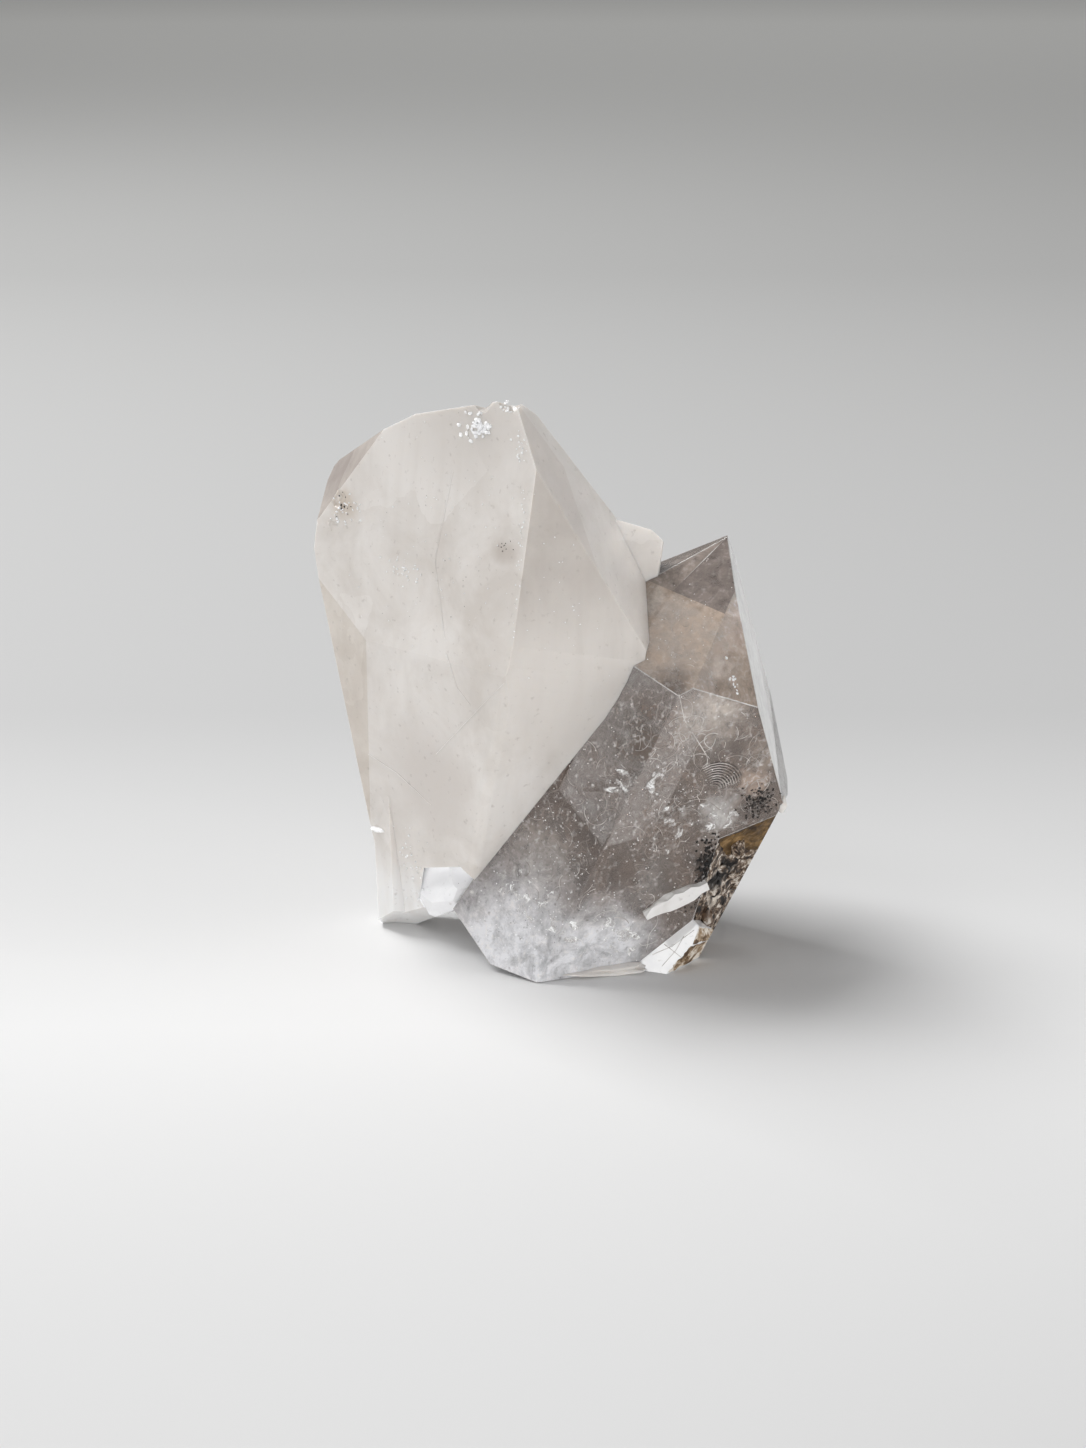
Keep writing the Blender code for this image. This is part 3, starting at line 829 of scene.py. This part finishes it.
# painted shade: darker, with little dust
film_top_painted_shade = film_material("painted shade at the top of the point", "#8d827c", 0.85, dust=0.3)
film_strip_painted_shade = film_material("grey strip of painted shade on the point", "#a0948c", 0.85, dust=0.3)
film_sliver_painted_shade = film_material("painted shade on a sliver of the right side", "#6a625d", 0.95, dust=0.5)
FILMS = (film_left, film_right, film_point_left, film_point_right, film_edge_wear_and_highlight, film_painted_reflection, film_back, film_top_painted_shade,
         film_strip_painted_shade, film_sliver_painted_shade)
ON_LEFT, ON_RIGHT, ON_POINT_LEFT, ON_POINT_RIGHT, ON_EDGE_WEAR_AND_HIGHLIGHT, ON_PAINTED_REFLECTION, ON_BACK, ON_TOP_PAINTED_SHADE, ON_STRIP_PAINTED_SHADE, ON_SLIVER_PAINTED_SHADE = (
    range(len(FILMS)))

# %% Film
FILM_GAP = 0.02                            # mm, the film lies this far outside the clear body
FILM_END = 0.1                             # mm, and ends this far above the table
# the right faces of the prism and of the point, 2 and 8, get the painted reflection
FILM_OF_FACE = {0: ON_LEFT, 1: ON_RIGHT, 2: ON_PAINTED_REFLECTION, 6: ON_POINT_LEFT, 7: ON_POINT_RIGHT, 8: ON_PAINTED_REFLECTION,
                11: ON_STRIP_PAINTED_SHADE}
# borders of the painted shade: at the top of the point, its grey strip, and a sliver of the right side
TOP_LEFT, TOP_END = (15.24, -6.18, 59.59), (24.37, -11.48, 56.69)          # lower border of the dark top
TOP_MIDDLE, TOP_RIGHT = (19.88, -6.63, 60.14), (26.49, -2.08, 65.61)       # border of its grey strip
SLIVER_TOP, SLIVER_END = (33.9, 0.0, 39.2), (35.9, 0.0, 24.4)              # border of the dark sliver

film = smoky_block(-FILM_GAP)
slice_off(film, place((0.0, 0.0, FILM_END)), DOWN, close=False)
outward = [normal for _, normal in SMOKY_FACES]
for face in film.faces:
    likeness = [face.normal.dot(normal) for normal in outward]
    face.material_index = FILM_OF_FACE.get(likeness.index(max(likeness)), ON_BACK)
# the pale edges are partly wear and partly painted highlight
wear(film, 0.09, material=ON_EDGE_WEAR_AND_HIGHLIGHT, spare=((ON_LEFT, ON_RIGHT), (ON_POINT_LEFT, ON_POINT_RIGHT)))
recoloured(film, ON_POINT_LEFT, TOP_LEFT, TOP_END, ON_TOP_PAINTED_SHADE)
recoloured(film, ON_TOP_PAINTED_SHADE, TOP_MIDDLE, TOP_RIGHT, ON_STRIP_PAINTED_SHADE)
# the painted shade of the sliver ends along the line of sight from the camera
recoloured(film, ON_PAINTED_REFLECTION, SLIVER_TOP, SLIVER_END, ON_SLIVER_PAINTED_SHADE, out=place(EYE) - place(SLIVER_TOP))
add("smoky_film", "smoky_quartz", film, *FILMS)

# %% [markdown]
# ## Curled threads
#
# Cracks that healed while the crystal grew left rows of tiny bubbles, which show as pale, curled threads.
# Each is a small square, spun round one arc after another. A curve with a bevel would do for one thread;
# hundreds are lighter as one mesh, and the seeded dice place them the same way each time.

# %% A thread
pale_thread, tree = new_material("healed crack")       # tiny bubbles: pale, matt and broken in tone
where = node(tree, "TexCoord", out="Object")
tint = node(tree, "TexNoise", Vector=where, Scale=cells(3.333))
tint = node(tree, "ValToRGB", {"stops": [(0.4, "#8f8680"), (0.62, "#dedad7")]}, Fac=tint)
body = node(tree, "BsdfPrincipled", Base_Color=tint, Roughness=0.6)
node(tree, "OutputMaterial", Surface=body)


def thread(bm, start, heading, axis, bends, half_width):
    """A thin curved thread: a small square, carried round one arc after another."""
    across = Matrix.Translation(start) @ heading.to_track_quat("Z", "Y").to_matrix().to_4x4()
    ring = bmesh.ops.create_circle(bm, cap_ends=True, segments=4, radius=half_width * MM, matrix=across)
    carried = ring["verts"] + list({edge for vert in ring["verts"] for edge in vert.link_edges})
    carried += list({face for vert in ring["verts"] for face in vert.link_faces})
    for radius, angle in bends:
        centre = start + axis.cross(heading).normalized() * radius * MM
        angle = math.copysign(angle, radius)
        carried = bmesh.ops.spin(bm, geom=carried, cent=centre, axis=axis, dvec=(0.0, 0.0, 0.0),
                                 angle=angle, steps=6)["geom_last"]
        turn = Matrix.Rotation(angle, 3, axis)
        start = centre + turn @ (start - centre)
        heading = turn @ heading


# %% Places on a face
INSET = 0.05       # mm, strewn places stay this far inside the edges
TRIM = 0.1         # mm, threads and arcs end this far inside them


def on_face(plane, spot, depth):
    """The place on a crystal face next to a spot, or a little under it."""
    point, normal = plane
    return spot - normal * (normal.dot(spot - point) + depth * MM)


def directions(plane):
    """The directions across and up a face, as seen from outside."""
    across = Vector((0.0, 0.0, 1.0)).cross(plane[1]).normalized()
    return across, plane[1].cross(across)


def others(bounds, plane):
    """All the faces that bound a crystal but one."""
    return [bound for bound in bounds if bound is not plane]


def strewn(plane, bounds, centre, spread, count, depth, dice):
    """Places strewn over an oval on a face and inside the other faces."""
    across, up = directions(plane)
    for _ in range(count):
        spot = place(centre) + (across * dice.gauss(0.0, spread[0]) + up * dice.gauss(0.0, spread[1])) * MM
        spot = on_face(plane, spot, dice.uniform(*depth))
        if all(normal.dot(spot - point) < -INSET * MM for point, normal in others(bounds, plane)):
            yield spot


# %% Threads
THREAD_DEPTHS = (-0.05, 0.03)              # mm under the face; less than nothing is above it


def threads(plane, bounds, centre, spread, count, radii, seed, half_width=(0.02, 0.055)):
    """Threads strewn just under a crystal face."""
    dice = random.Random(seed)
    across, up = directions(plane)
    bm = bmesh.new()
    for spot in strewn(plane, bounds, centre, spread, count, THREAD_DEPTHS, dice):
        angle = dice.uniform(0.0, 2.0 * math.pi)
        heading = across * math.cos(angle) + up * math.sin(angle)
        bends = [(dice.choice((-1, 1)) * dice.uniform(*radii), dice.uniform(0.3, 1.5))
                 for _ in range(dice.choice((1, 1, 2, 3)))]
        thread(bm, spot, heading, plane[1], bends, dice.uniform(*half_width))
    for point, normal in sunk(others(bounds, plane), TRIM):
        slice_off(bm, point, normal, close=False)
    return bm


TABLE = (place((0.0, 0.0, 0.3)), DOWN)
SMOKY_BOUNDS, UPPER_BOUNDS = SMOKY_FACES + [FLANK, TABLE], SMOKY_FACES + [LEDGE]
THREADS = (            # name, face, its bounds, middle, spread over the face, count, radii of the arcs
    ("middle", RIGHT_FRONT, UPPER_BOUNDS, (17.5, -20.5, 39.0), (2.8, 3.5), 70, (0.5, 2.6)),
    ("centre", RIGHT_FRONT, UPPER_BOUNDS, (20.0, -18.0, 30.0), (4.5, 6.0), 40, (0.6, 4.0)),
    ("right", RIGHT_FRONT, UPPER_BOUNDS, (29.0, -15.5, 34.0), (2.6, 3.5), 60, (0.4, 2.6)),
    ("low_right", RIGHT_FRONT, SMOKY_BOUNDS, (12.0, -17.5, 14.0), (5.0, 6.0), 34, (0.4, 3.0)),
    ("root", RIGHT_FRONT, SMOKY_BOUNDS, (5.0, -18.0, 6.0), (5.0, 3.0), 30, (0.5, 3.0)),
    ("left", LEFT_FRONT, UPPER_BOUNDS, (9.0, -20.0, 33.0), (4.0, 6.0), 40, (0.5, 3.0)),
    ("low_left", LEFT_FRONT, SMOKY_BOUNDS, (0.0, -17.0, 16.0), (5.0, 6.0), 50, (0.4, 2.4)),
    ("point", POINT_LEFT, UPPER_BOUNDS, (19.5, -14.0, 51.5), (3.0, 3.0), 22, (0.3, 1.2)))
for number, (name, *rest) in enumerate(THREADS):
    add("threads_" + name, "smoky_quartz", threads(*rest, seed=number + 1), pale_thread)

# %% [markdown]
# ## Growth lines and ripples
#
# Straight growth lines and cracks cross the faces, and at the right one set of ripples runs like the lines
# of a thumb, pale and dark in turn. At this size they are hair-thin bars and arcs laid on the face: a
# bump map would lose such fine lines in the render.

# %% Straight cracks and growth lines
def hairline(plane, places, half_width):
    """A thin straight line, or several end to end, on a crystal face."""
    bm = bmesh.new()
    spots = [on_face(plane, place(spot), 0.0) for spot in places]
    for start, end in zip(spots, spots[1:]):
        along = end - start
        onto = Matrix.Translation((start + end) / 2) @ along.to_track_quat("X", "Z").to_matrix().to_4x4()
        size = Matrix.Diagonal((along.length, 2.0 * half_width * MM, 2.0 * half_width * MM, 1.0))
        bmesh.ops.create_cube(bm, size=1.0, matrix=onto @ size)
    return bm


CLOUDY_LINES = (       # name, face, places along the line, half its width
    ("rise", BROAD, ((-14.8, -12.5, 78.2), (-17.6, -11.7, 64.4), (-16.2, -14.4, 53.0)), 0.035),
    ("low", FRONT_LEFT_ROOT, ((-15.7, -14.9, 51.0), (-14.4, -15.6, 45.7), (-12.4, -16.9, 43.4)), 0.045),
    ("slope", FRONT_LEFT_ROOT, ((-7.2, -22.3, 48.4), (-9.2, -20.1, 45.8), (-17.9, -10.3, 33.6)), 0.04),
    ("left", FRONT_LEFT_ROOT, ((-28.6, 0.2, 30.4), (-24.2, -3.7, 28.4), (-18.8, -7.7, 24.5)), 0.045))
SMOKY_LINES = (
    ("crack", RIGHT_FRONT, ((18.4, -21.4, 46.6), (19.5, -20.6, 42.2), (23.0, -17.8, 35.9)), 0.06),
    ("point", POINT_LEFT, ((26.3, -2.2, 65.4), TOP_MIDDLE), 0.05))
CORNER_LINES = (
    ("facet_1", CORNER_FACES[0], ((15.4, -14.1, 2.2), (18.5, -14.1, 3.6), (21.9, -13.4, 6.0)), 0.04),
    ("facet_2", CORNER_FACES[0], ((16.9, -15.8, 1.0), (19.1, -14.7, 3.2), (20.3, -13.6, 5.1)), 0.04),
    ("facet_3", CORNER_FACES[0], ((17.3, -13.5, 3.7), (20.0, -15.8, 2.3)), 0.04))
for lines, slot, material in ((CLOUDY_LINES, "cloudy_quartz", growth_line),
                              (SMOKY_LINES, "smoky_quartz", pale_thread),
                              (CORNER_LINES, "cloudy_quartz", pale_thread)):
    for name, plane, places, half_width in lines:
        add("line_" + name, slot, hairline(plane, places, half_width), material)


# %% Ripples
RIPPLE_CENTRE = (24.4, -16.0, 29.7)
RIPPLE_LIFT = -0.02                        # mm under the face, so just above it
RIPPLE_GAP = 0.42                          # mm, from one pale line to the next
RIPPLES = range(2, 12)


def ripples(radii, begins, reach, half_width):
    """Growth lines: arcs round one centre on a face; where they begin and reach is in radians."""
    out = RIGHT_FRONT[1]
    first = Matrix.Rotation(begins, 3, out) @ directions(RIGHT_FRONT)[0]
    middle = on_face(RIGHT_FRONT, place(RIPPLE_CENTRE), RIPPLE_LIFT)
    bm = bmesh.new()
    for radius in radii:
        thread(bm, middle + first * radius * MM, out.cross(first), out, [(radius, reach)], half_width)
    for point, normal in sunk(others(UPPER_BOUNDS, RIGHT_FRONT), TRIM):
        slice_off(bm, point, normal, close=False)
    return bm


pale_arcs = ripples([RIPPLE_GAP * k for k in RIPPLES], 0.2, 1.9, 0.055)
dark_arcs = ripples([RIPPLE_GAP * (k + 0.5) for k in RIPPLES], 0.4, 1.4, 0.05)
add("ripples_pale", "smoky_quartz", pale_arcs, pale_thread)
add("ripples_dark", "iron_stain", dark_arcs, black_crust)

# %% [markdown]
# ## Specks
#
# Broken edges and small pits catch the light as sparkling crumbs, and grains of iron oxide make dark
# specks. The crumbs are white broken quartz, and on the cloudy crystal their bright white is partly
# painted highlight that stands for glints. A noise could draw round dots, but small angular bodies glitter
# as the real ones do. Each crumb is a stretched twenty-sided ball, and a group is one mesh.

# %% Specks
SPECK_DEPTHS = (-0.03, 0.03)               # mm under the face


def specks(plane, bounds, centre, spread, count, sizes, seed):
    """Small angular crumbs strewn over a face."""
    dice = random.Random(seed)
    bm = bmesh.new()
    for spot in strewn(plane, bounds, centre, spread, count, SPECK_DEPTHS, dice):
        size = Vector([dice.uniform(*sizes) * MM for _ in range(3)])
        tumbled = Matrix.Rotation(dice.uniform(0.0, 6.3), 4, "X") @ Matrix.Rotation(
            dice.uniform(0.0, 6.3), 4, "Z")
        crumb = Matrix.Translation(spot) @ tumbled @ Matrix.Diagonal(size).to_4x4()
        bmesh.ops.create_icosphere(bm, subdivisions=1, radius=1.0, matrix=crumb)
    return bm


# %% Bright and dark specks
CLOUDY_BOUNDS = CLOUDY_FACES + [TABLE]
SMOKY_LEFT, SMOKY_RIGHT = (LEFT_FRONT, SMOKY_BOUNDS), (RIGHT_FRONT, SMOKY_BOUNDS)
SMOKY_UPPER, SMOKY_POINT = (RIGHT_FRONT, UPPER_BOUNDS), (POINT_LEFT, UPPER_BOUNDS)
CLOUDY_LEFT, CLOUDY_RIGHT = (BROAD, CLOUDY_BOUNDS), (FRONT_RIGHT, CLOUDY_BOUNDS)
CLOUDY_ROOT = (FRONT_LEFT_ROOT, CLOUDY_BOUNDS)
# the white crumbs on the cloudy crystal are partly painted highlight, standing for glints
SPECKS = (             # name, slot, face and bounds, middle, spread over the face, count, half sizes
    ("smoky_left", "smoky_quartz", SMOKY_LEFT, (3.0, -18.0, 22.0), (7.0, 12.0), 260, (0.04, 0.14)),
    ("smoky_right", "smoky_quartz", SMOKY_RIGHT, (15.0, -18.0, 24.0), (8.0, 13.0), 320, (0.04, 0.15)),
    ("smoky_point", "smoky_quartz", SMOKY_POINT, (19.0, -12.0, 54.0), (4.0, 6.0), 40, (0.04, 0.13)),
    ("cloudy_left", "cloudy_quartz", CLOUDY_LEFT, (-18.0, -12.0, 66.0), (9.0, 16.0), 90, (0.05, 0.16)),
    ("cloudy_right", "cloudy_quartz", CLOUDY_RIGHT, (0.0, -21.0, 60.0), (6.0, 12.0), 50, (0.05, 0.15)),
    ("sparkle", "cloudy_quartz", CLOUDY_LEFT, (-22.3, -8.0, 61.7), (2.0, 0.8), 26, (0.08, 0.26)),
    ("top_sparkle", "cloudy_quartz", CLOUDY_LEFT, (-11.0, -15.4, 85.5), (1.5, 1.1), 50, (0.12, 0.5)),
    ("tip", "cloudy_quartz", CLOUDY_LEFT, (-6.8, -18.3, 88.9), (0.8, 0.5), 14, (0.1, 0.36)),
    ("ridge", "cloudy_quartz", CLOUDY_LEFT, (-4.9, -22.4, 66.0), (0.25, 9.0), 50, (0.05, 0.2)),
    ("right_ridge", "cloudy_quartz", CLOUDY_LEFT, (-4.6, -20.3, 83.4), (0.8, 1.6), 16, (0.08, 0.24)),
    ("shoulder", "cloudy_quartz", CLOUDY_LEFT, (-32.0, 1.0, 69.6), (1.6, 1.6), 30, (0.08, 0.3)),
    ("foot", "cloudy_quartz", CLOUDY_ROOT, (-22.5, -2.5, 11.5), (2.5, 4.5), 60, (0.06, 0.24)),
    ("dashes", "smoky_quartz", (POINT_RIGHT, UPPER_BOUNDS), (26.9, -16.6, 47.2), (0.25, 1.6), 16,
     (0.08, 0.3)),
    ("milk", "smoky_quartz", SMOKY_LEFT, (-4.0, -16.0, 8.0), (5.0, 5.0), 120, (0.04, 0.15)))
for number, (name, slot, surface, *rest) in enumerate(SPECKS):
    add("specks_" + name, slot, specks(*surface, *rest, seed=number + 20), broken_quartz)

DARK_SPECKS = (        # name, face and bounds, middle, spread over the face, count, half sizes
    ("flank", SMOKY_RIGHT, (24.5, -13.3, 16.6), (1.2, 2.3), 300, (0.07, 0.38)),
    ("by_flake", SMOKY_RIGHT, (23.0, -12.6, 11.0), (1.2, 1.6), 80, (0.06, 0.28)),
    ("upper", SMOKY_UPPER, (31.6, -12.4, 26.6), (1.5, 1.4), 110, (0.06, 0.3)),
    ("milk", SMOKY_LEFT, (-2.0, -16.5, 10.0), (6.0, 6.0), 60, (0.04, 0.11)),
    ("smoky", SMOKY_RIGHT, (18.0, -18.0, 26.0), (8.0, 12.0), 60, (0.03, 0.09)),
    ("shoulder", CLOUDY_LEFT, (-32.3, 1.2, 70.3), (1.2, 1.4), 16, (0.06, 0.2)),
    ("ridge", CLOUDY_LEFT, (-7.3, -20.0, 68.7), (0.9, 0.7), 10, (0.05, 0.12)),
    ("face", CLOUDY_LEFT, (-16.0, -14.0, 62.0), (8.0, 14.0), 30, (0.03, 0.08)))
for number, (name, surface, *rest) in enumerate(DARK_SPECKS):
    add("dark_specks_" + name, "iron_stain", specks(*surface, *rest, seed=number + 40), black_crust)

# %% [markdown]
# ## The crust on the flank, the ledge and the corner
#
# The stain is thick enough to have a form of its own. A fine grid is laid on the face, raised by noise,
# cut to the face's outline and given thickness. A displacement modifier would spill over the edges; here
# the cuts come last, so the crust ends where the broken face ends.

# %% Crust
CRUST_CELLS = 90                           # along each side of the grid
CRUST_BUMPS = 2.2                          # mm, the largest bumps
CRUST_THICK = 0.25                         # mm, under the bumps


def crust(plane, centre, bounds, reach, height, seed):
    """An uneven crust on one face, round a place; its reach and height are in mm."""
    normal = plane[1]
    bm = bmesh.new()
    bmesh.ops.create_grid(bm, x_segments=CRUST_CELLS, y_segments=CRUST_CELLS, size=reach * MM / 2)
    onto = normal.to_track_quat("Z", "Y").to_matrix().to_4x4()
    onto = Matrix.Translation(on_face(plane, place(centre), 0.0)) @ onto
    bmesh.ops.transform(bm, matrix=onto, verts=bm.verts[:])
    for vert in bm.verts:
        # four layers of noise, each 2.2 times finer than the one before, raise it; no dent goes deeper
        lift = noise.fractal(vert.co / (CRUST_BUMPS * MM) + Vector((seed, 0.0, 0.0)), 0.8, 2.2, 4)
        vert.co += normal * (0.12 + max(0.0, lift + 0.25)) * height * MM
    for point, outward in bounds:
        slice_off(bm, point, outward, close=False)
    bmesh.ops.recalc_face_normals(bm, faces=bm.faces[:])
    bmesh.ops.solidify(bm, geom=bm.faces[:], thickness=CRUST_THICK * MM)
    return bm


# %% Where the crust lies
BELOW_LEDGE, OUTSIDE_FLANK = (LEDGE[0], -LEDGE[1]), (FLANK[0], -FLANK[1])
TAN_END = place((27.0, -9.6, 17.0))        # the ledge is tan above this place and rusty below it
ON_FLANK = SMOKY_FACES + [BELOW_LEDGE, TABLE]
TAN_PART, LOW_PART = (SMOKY_FACES + [OUTSIDE_FLANK, (TAN_END, normal)] for normal in (DOWN, -DOWN))

add("flank_crust", "iron_stain", crust(FLANK, (27.0, -9.0, 12.0), ON_FLANK, 34.0, 0.4, 3), iron_crust)
add("ledge_crust", "iron_stain", crust(LEDGE, (31.0, -10.0, 21.0), TAN_PART, 20.0, 0.3, 5), tan_crust)
add("low_ledge_crust", "iron_stain", crust(LEDGE, (29.0, -9.0, 16.0), LOW_PART, 20.0, 0.4, 6), iron_crust)
for number, rim in ((1, (23.5, -13.0, 4.0)), (2, (21.0, -14.0, 2.0))):
    face = CORNER_FACES[number]
    add("corner_crust_" + str(number), "iron_stain",
        crust(face, rim, others(CORNER_FACES, face) + [TABLE], 16.0, 0.25, 7), rim_crust)

# %% [markdown]
# ## Veils
#
# Veils are healed fractures: wrinkled sheets of bubbles that float in the clear stone like torn lace. Each
# is a ball pressed almost flat and dented, just under a face, with a material that is full of holes. A
# volume of real bubbles would take far longer to render and look the same at this distance.

# %% Veils
white_veil, tree = new_material("lacy white veil")
where = node(tree, "TexCoord", out="Object")
lace = node(tree, "TexNoise", Vector=where, Scale=cells(1.538), Detail=5.0, Roughness=0.7, Distortion=1.2)
cover = node(tree, "MapRange", Value=lace, From_Min=0.42, From_Max=0.6, To_Min=0.0, To_Max=0.9)
tint = node(tree, "ValToRGB", {"stops": [(0.4, "#c9c2bc"), (0.6, "#ffffff")]}, Fac=lace)
body = node(tree, "BsdfPrincipled", Base_Color=tint, Roughness=0.7, Specular_IOR_Level=0.0, Alpha=cover)
node(tree, "OutputMaterial", Surface=body)


WRINKLE_HIGH, WRINKLE_WIDE = 0.5, 1.5      # mm
VEIL_DEPTH = 0.15                          # mm under the face


def veil(centre, half_sizes, plane, tilt, seed):
    """A ragged, wrinkled sheet just under a crystal face."""
    bm = ball((0.0, 0.0, 0.0), 1.0 / MM, 4, 0.7, seed)
    bmesh.ops.scale(bm, verts=bm.verts[:], vec=place(half_sizes))
    for vert in bm.verts:
        wrinkle = noise.noise(vert.co / (WRINKLE_WIDE * MM) + Vector((0.0, seed, 0.0)))
        vert.co.y += WRINKLE_HIGH * MM * wrinkle
    turned = (plane[1].to_track_quat("-Y", "Z").to_matrix() @ Matrix.Rotation(tilt, 3, "Y")).to_4x4()
    middle = on_face(plane, place(centre), VEIL_DEPTH)
    bmesh.ops.transform(bm, matrix=Matrix.Translation(middle) @ turned, verts=bm.verts[:])
    for point, normal in others(SMOKY_FACES + [TABLE], plane):
        slice_off(bm, point, normal, close=False)
    return bm


VEILS = (              # centre, half sizes, face and tilt
    ((8.2, -18.4, 31.0), (3.6, 0.12, 1.0), LEFT_FRONT, -0.15),
    ((11.6, -20.6, 32.2), (2.2, 0.12, 2.2), LEFT_FRONT, 0.5),
    ((15.4, -20.4, 31.6), (1.6, 0.12, 2.2), RIGHT_FRONT, 0.2),
    ((25.3, -14.7, 25.4), (3.0, 0.1, 2.6), RIGHT_FRONT, 0.3),
    ((2.4, -20.0, 7.6), (3.0, 0.1, 0.9), RIGHT_FRONT, 0.2),
    ((-3.0, -16.0, 12.0), (6.0, 0.1, 4.0), LEFT_FRONT, 0.5),
    ((6.0, -18.4, 9.0), (7.0, 0.1, 2.4), RIGHT_FRONT, 0.3),
    ((11.0, -17.5, 5.0), (3.0, 0.1, 3.0), RIGHT_FRONT, 0.1),
    ((18.0, -18.0, 24.0), (3.0, 0.1, 4.0), RIGHT_FRONT, 0.6))
for number, shape in enumerate(VEILS):
    add("veil_" + str(number), "smoky_quartz", veil(*shape, seed=number + 10), white_veil)
